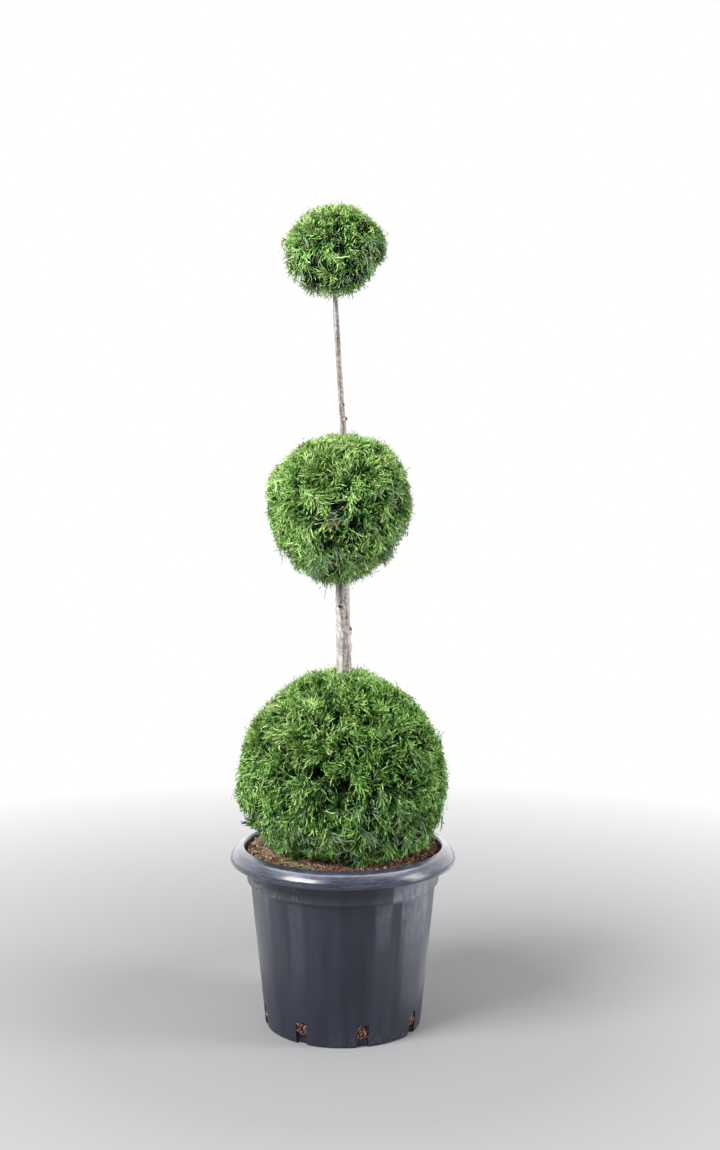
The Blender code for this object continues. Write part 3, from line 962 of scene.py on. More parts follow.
@dataclass(frozen=True)
class FanHabit:
    """How a fan grows: a stem, side branchlets in turn left and right, and fingers on each.

    Lengths are shares of the fan's length, and angles are in degrees. A range is the least and the
    most, and a fall is the value at the foot and what it loses up to the end.
    """

    branchlets: int
    finger_gap: float
    broad: float = 1.0
    joints: tuple[float, ...] = (0.0, 0.32, 0.64)
    joint_length: float = 0.36
    first_root: float = 0.12
    rooted_length: float = 0.68
    root_jitter: float = 0.02
    branchlet_fall: Range = (0.58, 0.28)
    branchlet_range: Range = (0.8, 1.2)
    angle_fall: Range = (34, 14)
    angle_jitter: float = 9
    branchlet_width: float = 1.05
    branchlet_curl: float = 0.08
    first_finger: float = 0.6
    bare_end: float = 0.05
    lean_range: Range = (14, 32)
    finger_fall: Range = (0.37, 0.15)
    finger_range: Range = (0.75, 1.25)
    width_range: Range = (0.85, 1.1)
    curl_range: Range = (0.04, 0.20)

    def fingers(
        self, root: Points, angle: float, length: float, side: int, chance: Chance
    ) -> list[tuple[Points, Points, float, float]]:
        """The fingers in turn left and right along one branchlet.

        Args:
            root: where the branchlet starts.
            angle: its angle to the fan's stem, in radians.
            length: its length.
            side: 1 where it grows to the left and -1 to the right.
            chance: the random numbers.

        Returns:
            Foot, end, width and curl of each.
        """
        along = np.array((math.cos(angle), math.sin(angle)))
        rows = []
        for place in np.arange(self.finger_gap * self.first_finger, length - self.bare_end, self.finger_gap):
            side = -side
            lean = angle + side * math.radians(chance.uniform(*self.lean_range))
            full, fall = self.finger_fall
            reach = (full - fall * place / length) * chance.uniform(*self.finger_range)
            foot = root + along * place
            end = foot + reach * np.array((math.cos(lean), math.sin(lean)))
            width = chance.uniform(*self.width_range)
            rows.append((foot, end, width, -side * chance.uniform(*self.curl_range)))
        return rows

    def grow(self, chance: Chance) -> SprayPattern:
        """Grows one fan.

        Args:
            chance: the random numbers.

        Returns:
            The fan.
        """
        rows = [(np.array((x, 0.0)), np.array((x + self.joint_length, 0.0)), 1.0, 0.0) for x in self.joints]
        side = 1
        for k in range(self.branchlets):
            side = -side
            share = k / self.branchlets
            jitter = chance.uniform(-self.root_jitter, self.root_jitter)
            root = np.array((self.first_root + self.rooted_length * share + jitter, 0.0))
            full, fall = self.branchlet_fall
            length = (full - fall * share) * chance.uniform(*self.branchlet_range)
            full, fall = self.angle_fall
            jitter = chance.uniform(-self.angle_jitter, self.angle_jitter)
            angle = side * math.radians(full - fall * share + jitter)
            end = root + np.array((math.cos(angle), math.sin(angle))) * length
            rows.append((root, end, self.branchlet_width, -side * self.branchlet_curl))
            rows.extend(self.fingers(root, angle, length, side, chance))
        base, tip, width, curl = zip(*rows)
        return SprayPattern(np.array(base), np.array(tip), np.array(width) * self.broad, np.array(curl))


@dataclass(frozen=True)
class Swell:
    """A place where a ball bulges, or is dented where rise is negative. Angles are in degrees."""

    bearing: float
    elevation: float
    rise: float
    spread: float
    power: ClassVar[int] = 2

    def at(self, directions: Points) -> Points:
        """Its rise in each direction, full at its middle."""
        middle = direction_to(self.bearing, self.elevation)
        away = np.degrees(np.arccos(np.clip(directions @ middle, -1, 1))) / self.spread
        return self.rise * np.exp(-(away**self.power))


@dataclass(frozen=True)
class Hollow(Swell):
    """A dark pocket between sprays, where rise is the share of the sprays that is missing."""

    power: ClassVar[int] = 4


@dataclass(frozen=True)
class WoodHabit:
    """How the boughs and twigs inside a ball grow. Shares are of their own span, if not said."""

    bough_jitter: float = 0.08
    # Where a bough ends, as a share of the reach
    bough_end: float = 0.62
    bough_radius: float = 0.0036
    bough_taper: float = 0.42
    # Where a bough leaves the stem: as far up as this share of its end, and a share of the ball lower
    bough_slope: float = 0.45
    bough_drop: float = 0.18
    bough_pull: float = 0.45
    bough_arch: float = 0.02
    bough_points: int = 9
    bough_sides: int = 7
    bough_clearance: float = 0.02
    twig_radius: float = 0.0014
    twig_taper: float = 0.45
    twig_pull: float = 0.5
    twig_overlap: float = 0.004
    twig_points: int = 4
    twig_sides: int = 4
    twig_clearance: float = 0.004
    # The first point along a bough that a twig may grow from
    first_fork: int = 4
    bare_twig_radius: float = 0.0007
    bare_twig_bend: float = 0.002


@dataclass(frozen=True)
class SprayHabit:
    """How the sprays of a ball grow, and how the shears leave them.

    A range is the least and the most, and a spread is a standard deviation. The seed times a turn
    is the bearing that the even directions start from.
    """

    clump_turn: float = 1.3
    clump_jitter: float = 0.05
    clump_rise: float = 0.0013
    clump_rises: Range = (-0.010, 0.0035)
    clump_pull: float = 0.96
    clump_lean: float = 0.36
    spray_turn: float = 1.7
    spray_jitter: float = 0.035
    spray_depth: float = 0.042
    root_spread: float = 0.0040
    heading_spread: float = 0.12
    length_range: Range = (0.98, 1.22)
    clump_bend: float = 0.16
    spray_bend: float = 0.08
    sag: float = 0.10
    shingle_share: float = 0.65
    plane_spread: float = 0.35
    whisker: float = 0.0034
    # The least, likeliest and greatest place of a clipped end, in whiskers
    whisker_places: Triple = (-1.6, 0, 1)
    least_kept: float = 0.30
    stray_share: float = 0.15
    stray_rise: Range = (0.001, 0.010)
    stray_width: float = 0.62
    sunk_share: float = 0.52
    sunk_depths: Range = (0.004, 0.016)
    pocket_share: float = 0.26
    pocket_depths: Range = (0.012, 0.026)
    pocket_dent: float = 0.015
    pocket_lumps: float = 11
    pocket_ragged: float = 0.8
    fringe_share: float = 0.35
    fringe_drop: float = 0.012
    # How much sprays hang, by the height of their direction
    hang_heights: tuple[float, ...] = (-1.0, -0.5, 0.0, 0.5, 1.0)
    hang_shares: tuple[float, ...] = (0.5, 0.9, 0.45, 0.10, 0.0)
    soil_clearance: float = 0.0015
    limb_clearance: float = 0.0006
    inner_turn: float = 2.3
    inner_jitter: float = 0.10
    inner_roots: Range = (0.18, 0.60)
    inner_heading: float = 0.55
    inner_bend: float = 0.12
    inner_lengths: Range = (0.30, 0.46)
    inner_limit: float = 0.84


@dataclass(frozen=True)
class TintHabit:
    """How the tints are dealt out: in patches and clumps, with painted light that makes them lighter to the
    upper left and painted shade that makes them darker inside.
    """

    patch_lumps: float = 3.4
    patch_weight: float = 0.10
    clump_spread: float = 0.04
    spray_spread: float = 0.14
    # Painted light: scores rise towards this direction, the upper left, and painted shade lowers them by how
    # deep a spray ends
    light: Triple = (-0.34, -0.10, 0.70)
    light_weight: float = 0.40
    sunk_dimming: float = 40.0
    # The scores at which one tint gives way to the next lighter one
    order: tuple[Tint, ...] = (Tint.DEEP, Tint.MOSS, Tint.GRASS, Tint.FRESH, Tint.LIME, Tint.PALE)
    scores: tuple[float, ...] = (-0.66, -0.36, -0.02, 0.32, 0.62)
    most_grey_level: int = 4
    grey_fall: float = 0.22
    blade_bias: float = 0.20
    blade_spread: float = 1.20
    pale_tip_share: float = 0.40
    depth_jitter: float = 0.0015
    # The depths at which a blade is painted one step darker, partly as older foliage and partly as painted
    # shade, and the step from which none keeps its own tint
    dark_depths: tuple[float, ...] = (0.005, 0.010, 0.016, 0.023, 0.031)
    plain_step: int = 2
    inner_shade_share: float = 0.75


@dataclass
class Stock:
    """What the balls share: the stem, the compost under them, fans to deal out and leaf materials."""

    trunk: Trunk
    compost: "Compost"
    fans: Sequence[SprayPattern]
    coarse_fan: SprayPattern
    leaves: Sequence[Material]


@dataclass
class FoliageBall:
    """One clipped ball: boughs from the stem, twigs on them, and flat sprays clipped to a surface."""

    stock: Stock
    name: str
    centre: Triple
    half_width: float
    up: float
    down: float
    fullness_below: float
    boughs: int
    seed: int
    swells: tuple[Swell, ...]
    hollows: tuple[Hollow, ...]
    clumps: int
    sprays: int
    inner_sprays: int
    straw: tuple[Swell, ...] = ()
    russet: tuple[Swell, ...] = ()
    # Patches whose tints are painted lighter as light, or darker as shade where the rise is negative
    lit: tuple[Swell, ...] = ()
    # Bearing, elevation and share of the reach where each bare twig starts, and the same where it ends
    bare_twigs: tuple[tuple[float, ...], ...] = ()
    vigour: float = 0.0
    dry_share: float = 0.015
    grey_share: float = 0.14
    # Directions lower than these lose a share of their sprays, stay open inside and have a fringe
    thin_below: float = -1.0
    thin_share: float = 0.5
    open_below: float = -1.0
    fringe_below: float = -0.70
    lump_share: float = 0.035
    lumps_round: float = 2.6
    fullness_above: float = 2.0
    wood: WoodHabit = WoodHabit()
    habit: SprayHabit = SprayHabit()
    dyes: TintHabit = TintHabit()
    chance: Chance = field(init=False)

    def __post_init__(self) -> None:
        """Starts its own random numbers from its seed."""
        self.chance = np.random.default_rng(self.seed)

    def reach(self, directions: Points) -> Points:
        """How far the clipped surface lies from the ball's centre.

        Args:
            directions: unit directions.

        Returns:
            One distance a direction.
        """
        above = directions[..., 2] > 0
        rise = np.where(above, self.up, self.down)
        power = np.where(above, self.fullness_above, self.fullness_below)
        flat = np.hypot(directions[..., 0], directions[..., 1]) / self.half_width
        distance = (flat**power + (np.abs(directions[..., 2]) / rise) ** power) ** (-1 / power)
        shift = np.array((self.seed / self.lumps_round, 0, 0))
        lump = noise_at(directions + shift, (self.lumps_round,) * 3)
        distance = distance * (1 + self.lump_share * lump)
        for swell in self.swells:
            distance = distance + swell.at(directions)
        return distance

    def spot(self, directions: Points, share: Points | float) -> Points:
        """Points at a share of the reach along directions."""
        return np.array(self.centre) + directions * (self.reach(directions) * share)[..., None]

    def bough_paths(self, ends: Points) -> Points:
        """The boughs' curves, from the stem to their ends.

        Args:
            ends: where the boughs end.

        Returns:
            One curve a bough.
        """
        wood = self.wood
        climb = wood.bough_slope * (ends[:, 2] - self.centre[2])
        starts, _ = self.stock.trunk.at(self.centre[2] + climb - wood.bough_drop * self.half_width)
        out = unit((ends - starts) * (1, 1, 0))
        span = np.linalg.norm(ends - starts, axis=1, keepdims=True)
        control = starts + out * span * wood.bough_pull + UP * span * wood.bough_arch
        return bent_paths(starts, control, ends, wood.bough_points)

    def twig_paths(self, boughs: Points, owner: Points, ends: Points) -> Points:
        """The twigs' curves, from a place along their bough to a clump of sprays.

        Args:
            boughs: the boughs' curves.
            owner: each twig's bough.
            ends: where the twigs end.

        Returns:
            One curve a twig.
        """
        fork = self.chance.integers(self.wood.first_fork, boughs.shape[1], len(ends))
        starts = boughs[owner, fork]
        span = np.linalg.norm(ends - starts, axis=1, keepdims=True)
        along = unit(boughs[owner, -1] - boughs[owner, -3])
        return bent_paths(starts, starts + along * span * self.wood.twig_pull, ends, self.wood.twig_points)

    def bare_twig_paths(self) -> Points:
        """The curves of the thin bare twigs that stand out of the surface."""
        ends = np.array(self.bare_twigs).reshape(-1, 2, 3)
        spots = self.spot(direction_to(ends[..., 0], ends[..., 1]), ends[..., 2])
        middles = spots.mean(axis=1) + self.chance.normal(0, self.wood.bare_twig_bend, (len(ends), 3))
        return bent_paths(spots[:, 0], middles, spots[:, 1], self.wood.twig_points)

    def hollow_share(self, directions: Points) -> Points:
        """How much of the foliage is missing in each direction, from 0 to 1."""
        missing = np.zeros(directions.shape[:-1])
        lumps = noise_at(directions + self.seed, (self.habit.pocket_lumps,) * 3)
        for hollow in self.hollows:
            missing = np.maximum(missing, hollow.at(directions))
        return np.clip(missing * (1 + self.habit.pocket_ragged * lumps), 0, 1)

    def tints(self, directions: Points, owner: Points, sunk: Points) -> Points:
        """Deals a tint to each spray.

        Args:
            directions: where each spray ends.
            owner: the clump that each grows in.
            sunk: how far under the clipped surface each ends.

        Returns:
            One tint's number a spray.
        """
        dyes = self.dyes
        patches = noise_at(directions + self.seed, (dyes.patch_lumps,) * 3)
        clump = self.chance.normal(0, dyes.clump_spread, self.clumps)[owner]
        # Painted light towards the upper left, painted shade by depth, and patches of painted light and shade
        light = directions @ np.array(dyes.light)
        score = self.vigour + dyes.patch_weight * patches + clump + dyes.light_weight * light
        score = score + self.chance.normal(0, dyes.spray_spread, len(directions))
        score = score - dyes.sunk_dimming * np.maximum(sunk, 0)
        score = score + sum(patch.at(directions) for patch in self.lit)
        level = np.digitize(score, dyes.scores)
        tint = slots_of(dyes.order)[level]
        grey = self.chance.random(len(tint)) < self.grey_share - dyes.grey_fall * directions[:, 2]
        tint = np.where(grey & (level < dyes.most_grey_level), Tint.SILVER.slot, tint)
        for patch in self.russet:
            dead = self.chance.random(len(tint)) < patch.at(directions)
            tint = np.where(dead, Tint.RUSSET.slot, tint)
        return tint

    def straw_share(self, directions: Points) -> Points:
        """The share of fingers that clipping has left brown, in each direction."""
        share = np.full(directions.shape[:-1], self.dry_share)
        for patch in self.straw:
            share = share + patch.at(directions)
        return share

    def clip(self, blades: Blades, limit: float | Points) -> Blades:
        """Shortens blades to the clipped surface and to the compost, and drops what is too short.

        Args:
            blades: the blades as grown.
            limit: the share of the reach that they may fill, or how far past it each may stand.

        Returns:
            The clipped blades.
        """
        habit = self.habit
        from_base, from_tip = blades.base - np.array(self.centre), blades.tip - np.array(self.centre)
        near, far = np.linalg.norm(from_base, axis=1), np.linalg.norm(from_tip, axis=1)
        reach = self.reach(unit(from_tip))
        inner = isinstance(limit, float)
        edge = reach * limit if inner else reach + limit
        edge = edge + self.chance.triangular(*habit.whisker_places, len(far)) * habit.whisker
        if not inner:
            edge = edge - habit.pocket_dent * self.hollow_share(unit(from_tip))
        stray = self.chance.random(len(far)) < habit.stray_share
        edge = edge + stray * self.chance.uniform(*habit.stray_rise, len(far))
        blades.width = np.where(stray & (far > reach), blades.width * habit.stray_width, blades.width)
        share = np.where(far > edge, (edge - near) / np.maximum(far - near, 1e-6), 1)
        floor = self.stock.compost.height_at(blades.tip) + habit.soil_clearance
        drop = np.maximum(blades.base[:, 2] - blades.tip[:, 2], 1e-6)
        share = np.minimum(share, np.where(blades.tip[:, 2] < floor, (blades.base[:, 2] - floor) / drop, 1))
        keep = share > habit.least_kept
        for part in (blades.middle, blades.tip):
            middles, radii = self.stock.trunk.at(part[:, 2])
            keep &= np.linalg.norm((part - middles)[:, :2], axis=1) > radii + habit.limb_clearance
        share = share[:, None]
        blades.tip = blades.base + (blades.tip - blades.base) * share
        blades.middle = blades.base + (blades.middle - blades.base) * share
        return blades.kept(keep)

    def age(self, blades: Blades) -> None:
        """Makes each blade darker with depth, from its tip to its foot, partly as older foliage and partly as
        painted shade, and a few tips brown.

        Args:
            blades: the blades, whose slots change.
        """
        dyes = self.dyes
        steps = (*reversed(dyes.order), Tint.SHADE)
        ladder = slots_of(steps)
        rank = np.full(len(Tint), steps.index(Tint.GRASS))
        rank[ladder] = np.arange(len(steps))
        plain = ~np.isin(blades.tip_slot, ladder)
        jitter = self.chance.normal(0, dyes.depth_jitter, len(blades.width))
        depths = [self.depth(part) + jitter for part in ((blades.base + blades.middle) / 2, blades.tip)]
        own = rank[blades.tip_slot] + self.chance.normal(dyes.blade_bias, dyes.blade_spread, len(jitter))
        paler = self.chance.random(len(jitter)) < dyes.pale_tip_share
        slots = []
        for depth, change in zip(depths, (0, paler)):
            sunk = np.digitize(depth, dyes.dark_depths)
            level = np.clip(np.rint(own + sunk - change), 0, len(steps) - 1).astype(int)
            slots.append(np.where(plain & (sunk < dyes.plain_step), blades.tip_slot, ladder[level]))
        direction = unit(blades.tip - np.array(self.centre))
        straw = self.chance.random(len(jitter)) < self.straw_share(direction)
        brown = (depths[1] < dyes.dark_depths[1]) & straw
        blades.foot_slot = slots[0]
        blades.tip_slot = np.where(brown, Tint.STRAW.slot, slots[1])

    def depth(self, points: Points) -> Points:
        """How far each point lies under the clipped surface."""
        offset = points - np.array(self.centre)
        return self.reach(unit(offset)) - np.linalg.norm(offset, axis=1)

    def flow(self, directions: Points) -> Points:
        """Which way the sprays grow at the surface: outwards, and hanging where it faces down."""
        hang = np.interp(directions[:, 2], self.habit.hang_heights, self.habit.hang_shares)
        return unit(directions - UP * hang[:, None])

    def sunk_depths(self, targets: Points, pocket: Points) -> Points:
        """How far under the clipped surface each spray ends, less than 0 where it hangs over it.

        Args:
            targets: the direction of each spray's end.
            pocket: whether it grows in a hollow.

        Returns:
            One depth a spray.
        """
        habit = self.habit
        count = len(targets)
        sunk = (self.chance.random(count) < habit.sunk_share) * self.chance.uniform(*habit.sunk_depths, count)
        sunk = np.where(pocket, self.chance.uniform(*habit.pocket_depths, count), sunk)
        fringed = (targets[:, 2] < self.fringe_below) & (self.chance.random(count) < habit.fringe_share)
        return np.where(fringed, -habit.fringe_drop * self.chance.random(count), sunk)

    def outer_sprays(self, clumps: Points) -> Blades:
        """The sprays that show: each from its clump's root out to the surface.

        Args:
            clumps: the direction of each clump.

        Returns:
            Their blades, clipped.
        """
        habit, chance = self.habit, self.chance
        rise = np.clip(chance.normal(0, habit.clump_rise, len(clumps)), *habit.clump_rises)
        targets = golden_directions(self.sprays, self.seed * habit.spray_turn, habit.spray_jitter, chance)
        owner = np.argmax(targets @ clumps.T, axis=1)
        targets = unit(clumps[owner] + habit.clump_pull * (targets - clumps[owner]))
        missing = chance.random(len(targets)) < self.hollow_share(targets)
        keep = ~missing | (chance.random(len(targets)) < habit.pocket_share)
        keep &= (targets[:, 2] > self.thin_below) | (chance.random(len(targets)) > self.thin_share)
        targets, owner, pocket = targets[keep], owner[keep], missing[keep]
        lean = chance.normal(0, habit.clump_lean, clumps.shape)
        roots = self.spot(clumps, 1.0) - unit(self.flow(clumps) + lean) * habit.spray_depth
        roots = roots[owner] + chance.normal(0, habit.root_spread, targets.shape)
        sunk = self.sunk_depths(targets, pocket)
        ends = self.spot(targets, 1.0) - targets * sunk[:, None]
        along = unit(unit(ends - roots) + chance.normal(0, habit.heading_spread, roots.shape))
        lengths = np.linalg.norm(ends - roots, axis=1) + rise[owner]
        lengths = lengths * chance.uniform(*habit.length_range, len(roots))
        bend = chance.normal(0, habit.clump_bend, clumps.shape)[owner]
        bend = bend + chance.normal(0, habit.spray_bend, roots.shape)
        bend = square_to(along, bend - UP * habit.sag * (targets[:, 2:] < 0))
        shingled = chance.random((len(clumps), 1))[owner] < habit.shingle_share
        plane = np.where(shingled, np.cross(targets, along), UP)
        plane = plane + chance.normal(0, habit.plane_spread, roots.shape)
        across = unit(square_to(along, plane))
        tint = self.tints(targets, owner, sunk)
        where = Placement(roots, along, across, bend, lengths, tint)
        kind = chance.integers(0, len(self.stock.fans), len(roots))
        groups = []
        for k, fan in enumerate(self.stock.fans):
            mine = kind == k
            limit = np.repeat((rise[owner] - sunk)[mine], len(fan.width))
            groups.append(self.clip(fan.placed(where.kept(mine), chance), limit))
        return Blades.joined(groups)

    def deep_sprays(self) -> Blades:
        """Old sprays inside, most tinted near black as painted shade, which close the view through the ball.

        Returns:
            Their blades, clipped.
        """
        habit, chance = self.habit, self.chance
        turn = self.seed * habit.inner_turn
        targets = golden_directions(self.inner_sprays, turn, habit.inner_jitter, chance)
        targets = targets[targets[:, 2] > self.open_below]
        roots = self.spot(targets, chance.uniform(*habit.inner_roots, len(targets)))
        along = unit(targets + chance.normal(0, habit.inner_heading, targets.shape))
        across = unit(square_to(along, chance.normal(0, 1, targets.shape)))
        bend = chance.normal(0, habit.inner_bend, targets.shape)
        lengths = self.half_width * chance.uniform(*habit.inner_lengths, len(targets))
        # Most inner sprays are tinted near black as painted shade
        shaded = chance.random(len(targets)) < self.dyes.inner_shade_share
        tint = np.where(shaded, Tint.SHADE.slot, Tint.DEEP.slot)
        where = Placement(roots, along, across, bend, lengths, tint)
        return self.clip(self.stock.coarse_fan.placed(where, chance), habit.inner_limit)

    def build_wood(self, clumps: Points) -> None:
        """The boughs and the twigs, each kind as one piece.

        Args:
            clumps: the direction of each clump of sprays.
        """
        wood = self.wood
        ground = self.stock.trunk.stations[0][0]
        mains = golden_directions(self.boughs, self.seed, wood.bough_jitter, self.chance)
        ends = self.spot(mains, wood.bough_end)
        ends[:, 2] = np.maximum(ends[:, 2], ground + wood.bough_clearance)
        boughs = self.bough_paths(ends)
        taper = np.linspace(1, wood.bough_taper, boughs.shape[1])
        radii = np.broadcast_to(wood.bough_radius * taper, boughs.shape[:2])
        points, faces = tubes(boughs, radii, wood.bough_sides)
        dress(mesh_object(f"boughs_{self.name}", points, faces, [BOUGH_FINISH.material()]), "bark")
        owner = np.argmax(clumps @ mains.T, axis=1)
        root_depth = self.habit.spray_depth - wood.twig_overlap
        twig_ends = self.spot(clumps, 1.0) - self.flow(clumps) * root_depth
        twigs = self.twig_paths(boughs, owner, twig_ends)
        radii = np.full(len(twigs) + len(self.bare_twigs), wood.twig_radius)
        radii[len(twigs) :] = wood.bare_twig_radius
        if self.bare_twigs:
            twigs = np.concatenate((twigs, self.bare_twig_paths()))
        taper = np.linspace(1, wood.twig_taper, twigs.shape[1])
        points, faces = tubes(twigs, radii[:, None] * taper, wood.twig_sides)
        keep = points[faces[:, 0], 2] > ground + wood.twig_clearance
        dress(mesh_object(f"twigs_{self.name}", points, faces[keep], [TWIG_FINISH.material()]), "bark")

    def build(self) -> None:
        """The whole ball, its sprays joined into pieces of a bounded size."""
        turn = self.seed * self.habit.clump_turn
        clumps = golden_directions(self.clumps, turn, self.habit.clump_jitter, self.chance)
        self.build_wood(clumps)
        outer = self.outer_sprays(clumps)
        self.age(outer)
        blades = Blades.joined([outer, self.deep_sprays()])
        bearing = np.arctan2(blades.base[:, 1] - self.centre[1], blades.base[:, 0] - self.centre[0])
        blades = blades.kept(np.argsort(bearing, kind="stable"))
        pieces = math.ceil(len(Blades.triangles) * len(blades.width) / MOST_TRIANGLES)
        for k, part in enumerate(np.array_split(np.arange(len(blades.width)), pieces)):
            points, faces, slots = blades.kept(part).mesh_parts()
            piece = mesh_object(f"sprays_{self.name}_{k + 1}", points, faces, self.stock.leaves, slots)
            dress(piece, "foliage", f"ball_{self.name}")


# Pot


@dataclass(frozen=True)
class Pot:
    """The thin-walled black pot: a drooping rim, a collar, a tapering body and a notched foot."""

    height: float = 0.318
    rim_radius: float = 0.203
    foot_radius: float = 0.140
    wall: float = 0.0025
    body_top: Range = (0.1662, 0.2490)
    collar_foot: Range = (0.1726, 0.2560)
    collar_top_radius: float = 0.1765
    rim_root_drop: float = 0.017
    rim_thickness: float = 0.0032
    lip_foot: float = 0.2910
    foot_chamfer: float = 0.0015
    foot_ring: float = 0.0155
    floor_underside: float = 0.0125
    floor_top: float = 0.0160
    # The rim's top surface: distance in from its widest radius, and depth below the top
    crest: tuple[Range, ...] = (
        (0.0257, 0.0035), (0.0238, 0.0006), (0.0228, 0.0000), (0.0125, 0.0038), (0.0093, 0.0064),
        (0.0050, 0.0115), (0.0015, 0.0170), (0.0000, 0.0240),
    )
    ridge_points: int = 3
    notches: int = 8
    notch_phase: float = 14
    notch_width: float = 0.021
    notch_top: float = 0.039
    notch_depth: float = 0.008
    notch_round: float = 0.003
    cutter_length: float = 0.03
    cutter_drop: float = 0.01
    # Waves round the rim, the foot and the whole wall: rise as a share of the radius, number, turn
    rim_wave: Triple = (0.0016, 2, 0.6)
    foot_wave: Triple = (0.0010, 5, 1.9)
    wall_wave: Triple = (0.0006, 9, 0.4)
    wave_lean: float = 1.5
    # Places where the body is a little flat: bearing and half width, in degrees
    flats: tuple[Range, ...] = (
        (-57.5, 10), (-37, 10), (-113, 8), (-137, 9), (60, 12), (150, 14),
    )
    flat_share: float = 0.55
    # Upright bands of painted reflection, mottled like dried bloom, and the same of painted dark reflection:
    # bearings from and to, heights where each fades in and is full, strength
    blooms: tuple[Band, ...] = (
        (-70, -60, 0.15, 0.235, 0.34), (-52, -27, 0.09, 0.25, 0.54), (-126, -117, 0.05, 0.24, 0.15),
        (-147, -144, 0.10, 0.24, 0.30),
    )
    collar_blooms: tuple[Band, ...] = ((-60.5, -33, 0.250, 0.253, 1.0),)
    cleans: tuple[Band, ...] = ((-93, -72, 0.02, 0.10, 0.42),)
    bloom_edge: float = 1.4
    # Scuffs on the collar and one at the foot: bearing, half width and strength
    scuffs: tuple[Triple, ...] = ((-151, 7, 1.0), (-134, 4, 0.35), (-118, 4, 0.25))
    foot_scuff: Triple = (-60, 40, 0.25)
    foot_scuff_heights: Range = (0.004, 0.030)
    # The painted highlight line on the collar's foot: height over it, half width and strength
    edge_line: Triple = (0.0006, 0.0010, 0.22)
    # How far from the collar's top radius the handled rim begins and is full
    handled_span: Range = (-0.001, 0.003)
    sharp_angle: float = 38
    steps: int = 256
    corner: float = 0.0009
    corner_share: float = 0.45
    row_height: float = 0.018

    def inner_wall(self) -> list[Range]:
        """(radius, height) points up the inner wall, from the floor to the mouth."""
        taper = (self.body_top[0] - self.foot_radius) / self.body_top[1]
        return [
            (self.foot_radius + taper * self.floor_top - self.wall, self.floor_top),
            (self.body_top[0] - self.wall, self.body_top[1] + self.wall / 2),
            (self.collar_foot[0] - self.wall, self.collar_foot[1] + self.wall / 2),
            (self.collar_top_radius - self.wall, self.height - self.rim_root_drop + self.wall),
        ]

    def over_rim(self) -> list[Range]:
        """(radius, height) points over the rim, from its inner side to its lip."""
        return [(self.rim_radius - inset, self.height - drop) for inset, drop in self.crest]

    def profile(self) -> Points:
        """The whole outline from the middle of the floor, over the rim and in under the foot."""
        over = self.over_rim()
        hidden = over[self.ridge_points : -1]
        under = [(radius - self.rim_thickness / 2, height - self.rim_thickness) for radius, height in hidden]
        lip = [
            (self.rim_radius - self.rim_thickness / 4, self.lip_foot),
            (self.rim_radius - self.rim_thickness, self.lip_foot),
        ]
        ring_inside = self.foot_radius - self.foot_ring
        outer = [
            (self.collar_top_radius, self.height - self.rim_root_drop),
            self.collar_foot,
            self.body_top,
            (self.foot_radius, 2 * self.foot_chamfer),
            (self.foot_radius - self.foot_chamfer, 0.0),
            (ring_inside, 0.0),
            (ring_inside - self.foot_chamfer, self.floor_underside),
        ]
        corners = [
            (0.0, self.floor_top), *self.inner_wall(), *over, *lip, *reversed(under), *outer,
            (0.0, self.floor_underside),
        ]
        return self.rounded(np.array(corners))

    def rounded(self, corners: Points) -> Points:
        """An outline whose corners are rounded and whose long runs have points between.

        Args:
            corners: the outline's corners.

        Returns:
            The finer outline.
        """
        fine = [corners[0]]
        for before, here, after in zip(corners, corners[1:], corners[2:]):
            back, ahead = before - here, after - here
            shorter = min(np.linalg.norm(back), np.linalg.norm(ahead))
            cut = min(self.corner, shorter * self.corner_share)
            start, end = here + unit(back) * cut, here + unit(ahead) * cut
            for t in (0.0, 0.5, 1.0):
                fine.append((1 - t) ** 2 * start + 2 * t * (1 - t) * here + t**2 * end)
        fine.append(corners[-1])
        spaced = [fine[0]]
        for point in fine[1:]:
            gap = np.linalg.norm(point - spaced[-1])
            start = spaced[-1]
            for t in np.linspace(0, 1, max(1, math.ceil(gap / self.row_height)) + 1)[1:]:
                spaced.append(start + (point - start) * t)
        return np.array(spaced)

    def wobble(self, angle: Points, height: Points) -> Points:
        """How far the wall is from a true circle, as a share of the radius."""
        share = height / self.height
        body = (height < self.body_top[1] - self.row_height) & (height > self.notch_top)
        flat = np.ones_like(angle * height)
        for bearing, half in self.flats:
            away = degrees_off(angle, bearing)
            chord = math.cos(math.radians(half)) / np.cos(np.radians(away))
            flat = np.where((np.abs(away) < half) & body, chord, flat)

        def wave(rise: float, count: float, turn: float, lean: Points | float = 0) -> Points:
            """A wave round the wall."""
            return rise * np.cos(count * angle + turn + lean)

        waves = wave(*self.rim_wave) * share + wave(*self.foot_wave) * (1 - share)
        return waves + wave(*self.wall_wave, self.wave_lean * share) + self.flat_share * (flat - 1)

